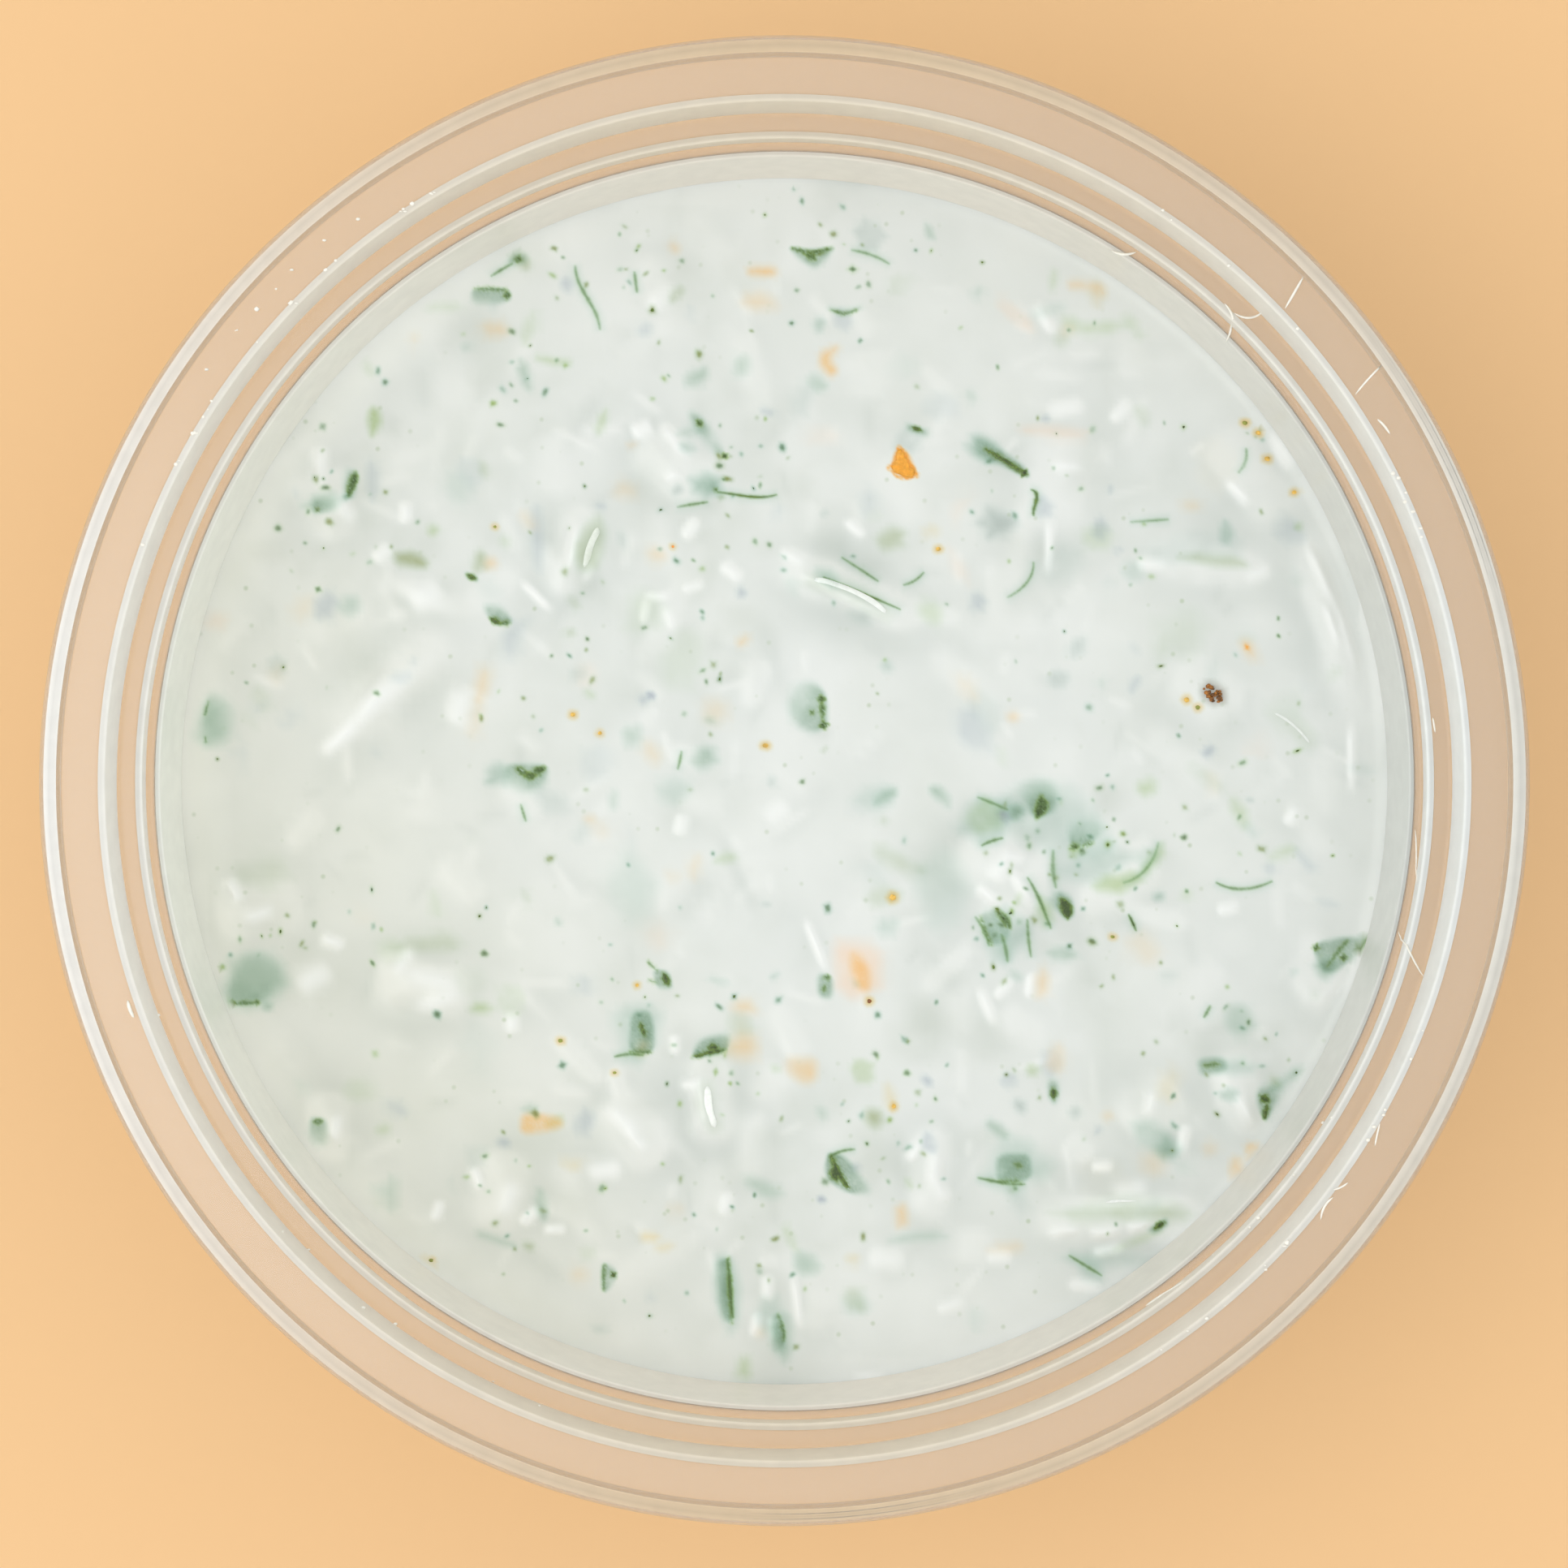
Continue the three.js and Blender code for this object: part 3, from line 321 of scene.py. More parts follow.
# Sunken pieces that only tint the surface: x, y, length, width, heading, strength, kind.
SUNKEN = [
    (6, -15.4, 5, 3.8, -55, 0.45, "peach"), (-42.9, -16, 4.8, 4.2, 20, 0.34, "herb"),
    (-46.1, 4.6, 3, 3.4, 0, 0.22, "herb"), (-37.3, 22.6, 2.6, 1.3, 10, 0.3, "herb"),
    (-30.3, 17.9, 2.4, 1.1, -10, 0.6, "olive"), (-24.6, 17.7, 0.9, 1.3, 0, 0.5, "olive"),
    (-33.3, 24.2, 0.8, 3, 0, 0.26, "violet"), (-20, 19.8, 1, 4.6, 5, 0.26, "violet"),
    (-22, 11.5, 1.6, 3.2, -20, 0.22, "violet"), (15.5, 4, 2.4, 3.6, 20, 0.24, "violet"),
    (-33.2, 29.2, 2.2, 0.8, 82, 0.7, "lime"), (-27.7, 38.4, 2.6, 0.6, 5, 0.18, "lime"),
    (-20.7, 36.6, 2.4, 0.8, 70, 0.22, "lime"), (-18.5, 34, 2.8, 0.5, -8, 0.3, "lime"),
    (-21, 32.8, 2.4, 0.7, -75, 0.3, "herb"), (-7, 32.7, 1.9, 0.9, 35, 0.32, "herb"),
    (-3.4, 33.6, 1.6, 1.1, 90, 0.26, "herb"), (-6.4, 1.9, 1.9, 1.4, 40, 0.42, "herb"),
    (-12.3, 3.7, 1.5, 1.1, 30, 0.24, "herb"), (-23.1, 0.4, 1.8, 1.5, 0, 0.34, "teal"),
    (-26.4, 23.8, 3.2, 1.8, 80, 0.08, "teal"), (-35.1, 14.2, 1.5, 1.5, 0, 0.2, "teal"),
    (-6.3, 23.9, 2.2, 1.6, 0, 0.42, "teal"), (8.7, 19.6, 2, 1.8, 0, 0.44, "olive"),
    (17.3, 20.9, 2.4, 2.1, 0, 0.5, "grey"), (16.1, 26.9, 2.6, 1.6, -30, 0.4, "teal"),
    (25.3, 36.7, 4.6, 0.9, 4, 0.24, "lime"), (28.3, 36.9, 2, 0.6, -60, 0.22, "lime"),
    (23.1, 37.2, 1.6, 0.9, 0, 0.18, "lime"), (21.8, 40.6, 1.6, 0.4, 85, 0.24, "lime"),
    (35, 17.9, 5.2, 0.9, -4, 0.34, "olive"), (33.5, 18.8, 8, 2.2, 2, 0.14, "grey"),
    (32.1, 12, 4.4, 3.2, 50, 0.12, "olive"), (22.5, 17.6, 3.6, 2.6, 60, 0.1, "grey"),
    (16.5, -3.2, 4.2, 3, 20, 0.26, "teal"), (22, -3.4, 8.5, 6, -20, 0.16, "teal"),
    (25.1, -6.6, 5.5, 2.8, 10, 0.2, "teal"), (27.1, -8.2, 3.6, 1.3, 8, 0.5, "lime"),
    (29.9, -6.4, 3, 0.7, 55, 0.42, "lime"), (17.9, -12.2, 2.8, 4.2, 0, 0.26, "teal"),
    (21.1, -10.7, 1.2, 2.2, 10, 0.36, "lime"), (12.7, -8.6, 4, 5.5, 0, 0.1, "teal"),
    (8.4, -11.8, 1.6, 1.2, 0, 0.2, "teal"), (9.1, -6.4, 5, 1.2, -25, 0.16, "olive"),
    (8.1, -9.3, 2.6, 1.4, 10, 0.22, "olive"), (12.8, -1.2, 2, 0.8, -45, 0.42, "herb"),
    (8.2, -1.2, 1.8, 0.9, 20, 0.4, "herb"), (36.9, -2.6, 2.4, 1, -60, 0.28, "lime"),
    (34.1, 0.4, 3, 0.8, -35, 0.14, "olive"), (43.8, -15.1, 1.6, 1.2, 40, 0.45, "herb"),
    (30.4, -29.2, 4.2, 2, -35, 0.26, "teal"), (31.1, -29.8, 1.8, 1.2, -30, 0.34, "herb"),
    (36.4, -23.1, 2.6, 1.2, 0, 0.22, "teal"), (40.9, -24, 2.6, 0.7, 35, 0.24, "herb"),
    (18.8, -31, 4.6, 3.8, 0, 0.22, "teal"), (25.9, -38.6, 6, 1.6, 0, 0.12, "teal"),
    (28.5, -37.2, 3.6, 0.8, 20, 0.2, "lime"), (27.9, -34.9, 10.5, 0.9, 0, 0.16, "olive"),
    (10.9, -36.9, 4.8, 0.5, 4, 0.2, "herb"), (0.5, -37, 2.2, 0.6, -60, 0.22, "lime"),
    (0, -45, 1.2, 3.4, 0, 0.34, "herb"), (-1.1, -43.2, 2, 3, 0, 0.18, "teal"),
    (-3.2, -47.6, 0.8, 1.8, 0, 0.4, "lime"), (-4.6, -41.2, 1.8, 5.6, 4, 0.24, "teal"),
    (-11.8, -20.4, 3.4, 4.4, 0, 0.22, "teal"), (-12.1, -8.6, 3.4, 5, 10, 0.09, "teal"),
    (-24.5, -18.4, 1.5, 0.8, 0, 0.45, "lime"), (-24.5, -21.4, 3, 3.6, 0, 0.07, "grey"),
    (-19.6, -34.4, 0.6, 2.2, 10, 0.34, "herb"), (-23.1, -37.2, 3.4, 0.4, -18, 0.24, "herb"),
    (-1.6, -33, 3.2, 1, -25, 0.2, "herb"), (-31.8, -33.4, 1, 2.4, 0, 0.2, "herb"),
    (-28.9, -13.2, 5.4, 1.4, 5, 0.2, "olive"), (-42.1, -7.4, 4, 2.4, 10, 0.12, "olive"),
    (-15.7, 19, 1.8, 4.8, -15, 0.26, "olive"), (-11.1, 13.6, 3.6, 3, 10, 0.1, "lime"),
    (-8.5, 9.6, 3, 5, -20, 0.08, "lime"), (-8.9, -0.8, 2.4, 1.8, 0, 0.16, "teal"),
    (-4.7, -6.2, 1.5, 0.8, 20, 0.34, "lime"), (-18.9, -1.6, 2.6, 1.6, -30, 0.14, "grey"),
    (16.4, 5.8, 3, 2.2, -60, 0.1, "grey"), (7.4, -1.4, 3.2, 1.6, 20, 0.14, "teal"),
    (1.5, 30.8, 1.2, 2.8, -25, 0.16, "grey"), (35.1, 25.6, 3.4, 4, 0, 0.08, "cream"),
    (22.1, 28.3, 5, 0.9, -6, 0.28, "peach"), (18.9, 37.6, 4.2, 1.1, -38, 0.26, "peach"),
    (25.3, 39.4, 0.7, 1.4, 10, 0.34, "carrot"), (-2.1, 38.8, 2.3, 1, -12, 0.3, "carrot"),
    (-23.4, 36.6, 1.4, 0.7, 0, 0.42, "carrot"), (-24.4, 8, 0.9, 2.2, -15, 0.3, "carrot"),
    (-24.9, 5.2, 0.8, 3.2, -15, 0.16, "carrot"), (-15.9, 8.6, 1.8, 1.8, 0, 0.12, "peach"),
    (-12.9, 23.6, 1.4, 1, 0, 0.24, "carrot"), (-45.9, 13, 1.6, 1.4, 0, 0.2, "peach"),
    (-17.1, -31, 1.3, 0.7, 0, 0.38, "spice"), (-10.9, -36.9, 1.4, 0.6, 0, 0.38, "spice"),
    (-9.7, -37.7, 1.2, 0.5, 10, 0.3, "spice"), (-10.3, -12.6, 2, 2, 0, 0.14, "peach"),
    (-3.3, -18.3, 1.6, 0.8, 0, 0.34, "carrot"), (-3.4, -21.4, 1.9, 1.6, 0, 0.42, "carrot"),
    (29.1, -13.4, 2.6, 1.6, -40, 0.18, "carrot"), (20.9, -16.4, 0.7, 1.7, -5, 0.36, "carrot"),
    (11.9, 20.2, 1.2, 1, 0, 0.2, "spice"), (14.3, 22.2, 3, 0.9, 60, 0.12, "peach"),
    (14.1, 17.4, 3, 1, -60, 0.12, "peach"), (38.3, 2.6, 2.6, 0.7, 5, 0.16, "peach"),
    (18.1, -37.8, 2.6, 0.8, 5, 0.22, "carrot"), (5.5, -38.7, 1, 0.7, 0, 0.3, "spice"),
    (31.1, -24.6, 1.8, 2.6, -20, 0.16, "spice"), (8.6, -25.6, 0.8, 2, 10, 0.26, "spice"),
    (3.1, 28, 3, 1.6, 0, 0.1, "peach"), (25.9, -32.2, 4.5, 3.4, 0, 0.07, "cream"),
]
RANDOM_SUNKEN = 210

# Specks of spice: x, y, size, kind.
SPICES = [
    (37.3, 29, 0.62, "olive"), (38.4, 28.2, 0.6, "spice"), (39.1, 26.1, 0.7, "spice"),
    (41.3, 23.4, 0.6, "spice"), (-1.5, 2.9, 0.65, "spice"), (8.8, -9.4, 0.75, "spice"),
    (6.9, -17.8, 0.55, "brown"), (26.6, -12.6, 0.5, "olive"), (32.6, 6.6, 0.62, "spice"),
    (33.5, 6, 0.6, "olive"), (12.5, 18.8, 0.6, "spice"), (-9, 19, 0.35, "carrot"),
    (-14.9, 3.9, 0.5, "spice"), (-17.1, 5.4, 0.6, "spice"), (-23.4, 20.6, 0.4, "olive"),
    (-11.9, -16.5, 0.45, "spice"), (8.9, -26.3, 0.55, "spice"), (-18.1, -21, 0.6, "olive"),
    (-13.7, -23.6, 0.45, "olive"), (-28.6, -38.8, 0.6, "olive"),
]
PEPPER = (34.7, 7.1, 1.7, 1.25, -35)

# Clusters of fine herb specks: x, y, spread, number.
SPECK_CLUSTERS = [
    (-37.5, 24, 3.5, 10), (-36.5, 17, 5, 7), (-14.5, 40, 6, 16), (-20.5, 33, 5, 8), (-3.5, 26, 3.2, 16),
    (-3.5, 18, 5, 10), (1.5, 44, 5, 10), (19.5, 24, 6, 12), (37.5, 27, 4, 7), (23.5, -5, 5.5, 30),
    (17.5, -11, 4.5, 18), (11.5, -27, 7, 26), (-0.5, -37, 5, 10), (-4.5, -22, 4, 12), (-12.5, -18, 3.5, 8),
    (-43.5, -14, 4, 10), (-22.5, -34, 6, 14), (-10.5, 12, 8, 12), (35.5, -24, 5, 14), (31.5, -3, 6, 8),
]
SCATTERED_SPECKS = 150

# Dried strings on the rim: width, points before RIM_SCALE. Crumbs: radius, from and to angle, number.
RESIDUE = [
    (0.22, [(27, 43.7), (28, 43.4), (29, 43.6)]), (0.2, [(36.1, 39.2), (36.8, 38), (36.4, 36.2)]),
    (0.18, [(36.9, 38.4), (38.2, 38), (39.4, 38.6)]), (0.2, [(40.7, 38.4), (41.4, 39.6), (42.2, 41)]),
    (0.16, [(46.4, 31.4), (47.4, 32.6), (48.8, 34)]), (0.2, [(48.2, 29.4), (48.8, 28.8), (49.2, 28.2)]),
    (0.16, [(53.2, 5.2), (53.3, 4.6), (53.4, 4)]), (0.16, [(44.6, -33.2), (45.2, -33), (45.8, -32.6)]),
    (0.18, [(43.6, -35.6), (44, -34.4), (44.6, -33.8)]), (0.16, [(48, -29.6), (48.2, -28.6), (48.4, -27.8)]),
    (0.16, [(50.6, -12.4), (51.4, -14.2), (52.4, -16)]), (0.14, [(52, -4), (52.1, -6), (52, -8.4)]),
    (0.3, [(29.8, -43.2), (31.4, -42.2), (33.2, -40.9)]),
    (0.3, [(-53.3, -17.8), (-53.1, -18.6), (-52.8, -19.2)]),
]
CRUMBS = [
    (53.75, 118, 160, 26), (55.5, 118, 150, 8), (53.6, 20, 60, 12), (53.7, -60, -20, 14), (53, 200, 250, 8),
    (51, -50, -30, 6),
]

# Colours, sRGB. Stains are what a sunk piece tends to as it nears the surface.
SAUCE_COLOUR = (211, 214, 209)
# Painted highlight on ridge crests.
CREST_HIGHLIGHT_COLOUR = (227, 229, 226)
# Sides of the sauce, painted much lighter than its top.
BRIGHTENED_SIDE_COLOUR = (248, 249, 245)
HAZE_TINT = (2.6, 2.3, 2.8)
# Painted warm light on the lamp's side of the sauce.
LAMP_SIDE_WARM_TINT = (5, 7, 13)
# Painted light on the sauce next to the wall, mostly at the left.
LEFT_WALL_LIGHT_TINT = (16, 15, 14)
SCATTER = (0.86, 1.0, 0.97)
STAINS = {
    "herb": (62, 90, 56),
    "dark": (44, 64, 22),
    "teal": (62, 90, 66),
    "lime": (120, 144, 52),
    "olive": (104, 108, 40),
    "grey": (106, 110, 106),
    "violet": (116, 114, 140),
    "carrot": (226, 146, 42),
    "peach": (236, 176, 130),
    "spice": (206, 160, 60),
    "cream": (226, 206, 150),
    "brown": (122, 92, 78),
}
BARE_COLOURS = {
    "herb": ((48, 68, 22), (96, 122, 44)),
    "carrot": ((226, 152, 34), (232, 170, 66)),
}
CUCUMBER_COLOUR = (240, 244, 236)
SPICE_COLOURS = {
    "spice": (214, 172, 78),
    "olive": (138, 142, 62),
    "brown": (122, 76, 34),
    "carrot": (232, 146, 58),
}
PEPPER_COLOUR = (128, 80, 22)
# Films, at the left, the right, and the near and far side: partly the film's own colour, partly painted
# light, lighter on the lamp's side at the left and greyer in shade at the right.
RIM_FILM_AND_SHEEN_COLOURS = ((255, 253, 244), (246, 248, 244), (240, 228, 206))
WALL_FILM_AND_SHADE_COLOURS = ((236, 237, 226), (208, 210, 204), (228, 221, 207))
BEAD_HIGHLIGHT_COLOURS = ((255, 253, 246), (232, 230, 220), (228, 202, 166))
BEAD_HIGHLIGHT_ARC = (60, 130)
# Painted sheen: films are this much duller where they lie flat than where they are steep.
FLAT_SHEEN_DROP = 0.26
RIM_FILM_AND_HIGHLIGHT_ALPHA = 0.85
WALL_FILM_EDGE = 0.34
# Down to the sauce: share of the bare wall's height, thickness.
WALL_FILM_SECTION = ((0.6, 0.05), (0.38, 0.08), (0.22, 0.12), (0.1, 0.2), (0, 0.28), (-0.1, 0.34))
RESIDUE_COLOUR = (238, 234, 222)
FILM_SINK = 0.03
FILM_THICKNESS = 0.03
STEP_FILM_EDGE = 0.5
STEP_FILM_FOOT = 0.3
RIM_SCALE = 0.966
FLOOR_COLOUR = (232, 188, 134)
SPECK_GREEN = (150, 170, 128)
# Materials, in the shader's own units.
PLASTIC_TINTS = ((0.9, 0.9, 0.89, 1), (0.88, 0.88, 0.86, 1))
PLASTIC_CLARITY = 0.9
PLASTIC_IOR = 1.49
STREAK_STRETCH = (2.2, 2.4, 1.6)
SAUCE_GLOW = 0.35
SAUCE_GLOW_RADII = (1, 0.95, 0.8)
SAUCE_GLOW_REACH = 0.9
DRIFT_COLOUR = (0.985, 0.985, 0.955, 1)

rng = np.random.default_rng(SEED)


# ---- Colour and mesh helpers ----
def linear(colour):
    """An sRGB colour, 0 to 255, as linear numbers from 0 to 1."""
    value = np.array(colour, dtype=float) / 255
    return np.where(value <= 0.04045, value / 12.92, ((value + 0.055) / 1.055) ** 2.4)


def smooth_step(low, high, value):
    t = np.clip((value - low) / (high - low), 0, 1)
    return t * t * (3 - 2 * t)


def turned(points, heading):
    """Points (n, 2) turned anticlockwise by a heading in degrees."""
    cos, sin = math.cos(math.radians(heading)), math.sin(math.radians(heading))
    return points @ np.array([[cos, sin], [-sin, cos]])


def random_spot(reach):
    """A seeded place in a circle."""
    radius, angle = reach * math.sqrt(rng.random()), 2 * math.pi * rng.random()
    return radius * math.cos(angle), radius * math.sin(angle)


def circle_angles(count):
    return np.linspace(0, 2 * math.pi, count, endpoint=False)


def sideways(path):
    """Unit vectors to the left of a path (n, 2)."""
    ahead = np.gradient(path, axis=0)
    return np.column_stack([-ahead[:, 1], ahead[:, 0]]) / np.linalg.norm(ahead, axis=1)[:, None]


def facing_up(flat, triangles):
    """Triangles over flat points, turned so that all face up."""
    a, b, c = (flat[triangles[:, k]] for k in range(3))
    area = (b[:, 0] - a[:, 0]) * (c[:, 1] - a[:, 1]) - (b[:, 1] - a[:, 1]) * (c[:, 0] - a[:, 0])
    return np.where(area[:, None] < 0, triangles[:, ::-1], triangles)


def leaf_green(tone):
    """Linear colour of a bare leaf, from dark at 0 to light at 1."""
    dark, light = (linear(colour) for colour in BARE_COLOURS["herb"])
    return dark * (1 - tone) + light * tone


def new_object(name, data):
    piece = bpy.data.objects.new(name, data)
    bpy.context.scene.collection.objects.link(piece)
    return piece


def build_mesh(name, vertices, faces, material, colours=None, sharp=0):
    """A smooth piece from vertices in millimetres and faces of three or four corners."""
    mesh = bpy.data.meshes.new(name)
    loops = [corner for face in faces for corner in face] if isinstance(faces, list) else faces.ravel()
    sizes = [len(face) for face in faces] if isinstance(faces, list) else [faces.shape[1]] * len(faces)
    mesh.vertices.add(len(vertices))
    mesh.vertices.foreach_set("co", (np.asarray(vertices) * MM).ravel())
    mesh.loops.add(len(loops))
    mesh.loops.foreach_set("vertex_index", loops)
    mesh.polygons.add(len(sizes))
    mesh.polygons.foreach_set("loop_start", np.concatenate([[0], np.cumsum(sizes)[:-1]]))
    mesh.update(calc_edges=True)
    mesh.validate()
    mesh.shade_smooth()
    if sharp:
        mesh.set_sharp_from_angle(angle=math.radians(sharp))
    if colours is not None:
        layer = mesh.color_attributes.new("tint", "FLOAT_COLOR", "POINT")
        rgba = np.ones((len(vertices), 4))
        rgba[:, :3] = colours
        layer.data.foreach_set("color", rgba.ravel())
    mesh.materials.append(material)
    piece = new_object(name, mesh)
    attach(piece, "root")
    return piece


class Parts:
    """Closed pieces gathered into one mesh, each with its own colours."""

    def __init__(self):
        self.vertices, self.faces, self.colours, self.count = [], [], [], 0

    def add(self, vertices, faces, colours):
        self.vertices.append(vertices)
        self.faces.extend([[corner + self.count for corner in face] for face in faces])
        self.colours.append(np.broadcast_to(colours, (len(vertices), 3)))
        self.count += len(vertices)

    def build(self, name, material, slot, sharp=0):
        vertices, colours = np.concatenate(self.vertices), np.concatenate(self.colours)
        return build_mesh(name, vertices, self.faces, material, colours, sharp)


# ---- Tub ----
def wall_radius(z):
    return WALL_TOP_RADIUS - WALL_TAPER * (LOWER_LEDGE_Z - z)


def base_corner(steps=ARC_STEPS):
    corner_z = WALL + BASE_CORNER_RADIUS
    centre = wall_radius(corner_z) - BASE_CORNER_RADIUS
    angles = [math.pi / 2 * i / steps for i in range(steps + 1)]
    curve = [(BASE_CORNER_RADIUS * math.sin(a), BASE_CORNER_RADIUS * math.cos(a)) for a in angles]
    return [(centre + out, corner_z - down) for out, down in curve]


def inside_corners():
    return [
        *base_corner(),
        (WALL_TOP_RADIUS, LOWER_LEDGE_Z),
        (LOWER_LEDGE_RADIUS, LOWER_LEDGE_Z),
        (LOWER_STEP_RADIUS, UPPER_LEDGE_Z),
        (UPPER_LEDGE_RADIUS, UPPER_LEDGE_Z),
        (LIP_TOP_RADIUS, FLANGE_Z),
    ]


def rim_profile():
    skirt_z = RIM_HEIGHT - SKIRT_DEPTH
    points = [(RIM_RADIUS - WALL, FLANGE_Z - WALL), (RIM_RADIUS - WALL, skirt_z), (RIM_RADIUS, skirt_z)]
    for i in range(ARC_STEPS + 1):
        angle = math.pi * i / ARC_STEPS
        radius = RIM_RADIUS - BEAD_RADIUS + BEAD_RADIUS * math.cos(angle)
        points.append((radius, RIM_HEIGHT - BEAD_RADIUS + BEAD_RADIUS * math.sin(angle)))
    return points


def filleted(points):
    """Sharp corners of a profile rounded, with a point just beyond each fillet to keep the flats flat."""
    points = [Vector(point) for point in points]
    result = [points[0]]
    for before, corner, after in zip(points, points[1:], points[2:]):
        back, ahead = before - corner, after - corner
        turn = math.pi - back.angle(ahead)
        if turn < math.radians(FILLET_MIN_TURN):
            result.append(corner)
            continue
        reach = min(FILLET_RADIUS * math.tan(turn / 2), 0.4 * back.length, 0.4 * ahead.length)
        start, end = corner + back.normalized() * reach, corner + ahead.normalized() * reach
        result.append(corner + back.normalized() * reach * 1.15)
        for i in range(FILLET_STEPS + 1):
            t = i / FILLET_STEPS
            result.append(start * (1 - t) ** 2 + corner * 2 * t * (1 - t) + end * t ** 2)
        result.append(corner + ahead.normalized() * reach * 1.15)
    return result + [points[-1]]


def tub_vertices(profile, angles):
    """The turned profile with the slight waviness of thin formed plastic."""
    rings = np.array([(point.x, point.y) for point in profile])
    radius, height = rings[:, 0][None], rings[:, 1][None]
    theta = angles[:, None]
    wave = np.zeros((len(angles), len(rings)))
    for lobes, size, twist in RIM_WAVES:
        wave += size * np.sin(lobes * theta + twist * height + 2 * lobes)
    wave *= smooth_step(30, 46, radius) * smooth_step(1.5, 8, height)
    r = np.minimum(radius + wave, RIM_RADIUS)
    lifted = height + LIFT_WAVE * np.roll(wave, LIFT_WAVE_SHIFT, axis=0)
    z = np.where(height > 0.5 * RIM_HEIGHT, lifted, height)
    z = np.minimum(z, RIM_HEIGHT)
    return np.stack([r * np.cos(theta), r * np.sin(theta), z], axis=-1)


def ring_faces(around, section, steps):
    """Faces of a turned section of points, over a number of steps from one point to the next."""
    i, j = np.meshgrid(np.arange(around), np.arange(steps), indexing="ij")
    here, there, beside = i * section, (i + 1) % around * section, (j + 1) % section
    quads = np.stack([here + j, there + j, there + beside, here + beside], axis=-1)
    return quads.reshape(-1, 4).tolist()


def make_tub():
    inside = inside_corners()
    outside = [(radius + WALL, z - WALL) for radius, z in inside]
    under, over = [(BASE_FLAT_RADIUS, 0), *outside], [*reversed(inside), (BASE_FLAT_RADIUS, WALL)]
    profile = filleted([*under, *rim_profile(), *over])
    angles = circle_angles(TUB_SEGMENTS)
    grid = tub_vertices(profile, angles)
    rings = grid.shape[1]
    faces = ring_faces(TUB_SEGMENTS, rings, rings - 1)
    base = TUB_SEGMENTS * rings
    vertices = np.concatenate([grid.reshape(-1, 3), [[0, 0, 0], [0, 0, WALL]]])
    for i in range(TUB_SEGMENTS):
        j = (i + 1) % TUB_SEGMENTS
        faces.append([base, j * rings, i * rings])
        faces.append([base + 1, i * rings + rings - 1, j * rings + rings - 1])
    piece = build_mesh("clear_tub", vertices, faces, clear_plastic())
    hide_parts("tub")
    return piece


# ---- Surface of the sauce ----
SURFACE_RADIUS = wall_radius(SAUCE_LEVEL + MENISCUS_HEIGHT) + SAUCE_OVERLAP
MOUND_REACH = 46.5
CLOSEST = 1e-7


def small_mounds(count, along_range, across_range, height_range):
    """Seeded mounds and dimples between the main ones."""
    rows = []
    for _ in range(count):
        spot = random_spot(MOUND_REACH)
        along, across = rng.uniform(*along_range), rng.uniform(*across_range)
        height = rng.choice([1, 1, -0.6]) * rng.uniform(*height_range)
        rows.append((*spot, along, across, height, 360 * rng.random()))
    return rows


def segment_distance(points, start, end):
    """Distance from points (n, 2) to the nearest of some segments."""
    edge = end - start
    offset = points[:, None, :] - start[None]
    t = np.clip((offset * edge).sum(-1) / np.maximum((edge * edge).sum(-1), 1e-9), 0, 1)
    return np.linalg.norm(offset - t[..., None] * edge, axis=-1).min(axis=1)


def polygon_distance(points, outline):
    """Distance from points to a closed outline, negative inside."""
    start, end = outline, np.roll(outline, -1, axis=0)
    edge = end - start
    distance = segment_distance(points, start, end)
    above_start = start[None, :, 1] > points[:, None, 1]
    above_end = end[None, :, 1] > points[:, None, 1]
    slope = edge[:, 0] / np.where(edge[:, 1] == 0, 1e-9, edge[:, 1])
    crossing = start[:, 0] + (points[:, None, 1] - start[:, 1]) * slope
    hits = ((above_start != above_end) & (points[:, None, 0] < crossing)).sum(axis=1)
    return np.where(hits % 2 == 1, -distance, distance)


def cut_outline(length, width, roundness, jitter, corners=PIECE_CORNERS):
    """Uneven closed outline of a chopped piece; low roundness is a diamond, high roundness a block."""
    angles = circle_angles(corners)
    cos, sin = np.cos(angles), np.sin(angles)
    radius = (np.abs(cos) ** roundness + np.abs(sin) ** roundness) ** (-1 / roundness)
    radius *= 1 + jitter * rng.uniform(-1, 1, corners)
    return np.stack([length / 2 * radius * cos, width / 2 * radius * sin], axis=-1)


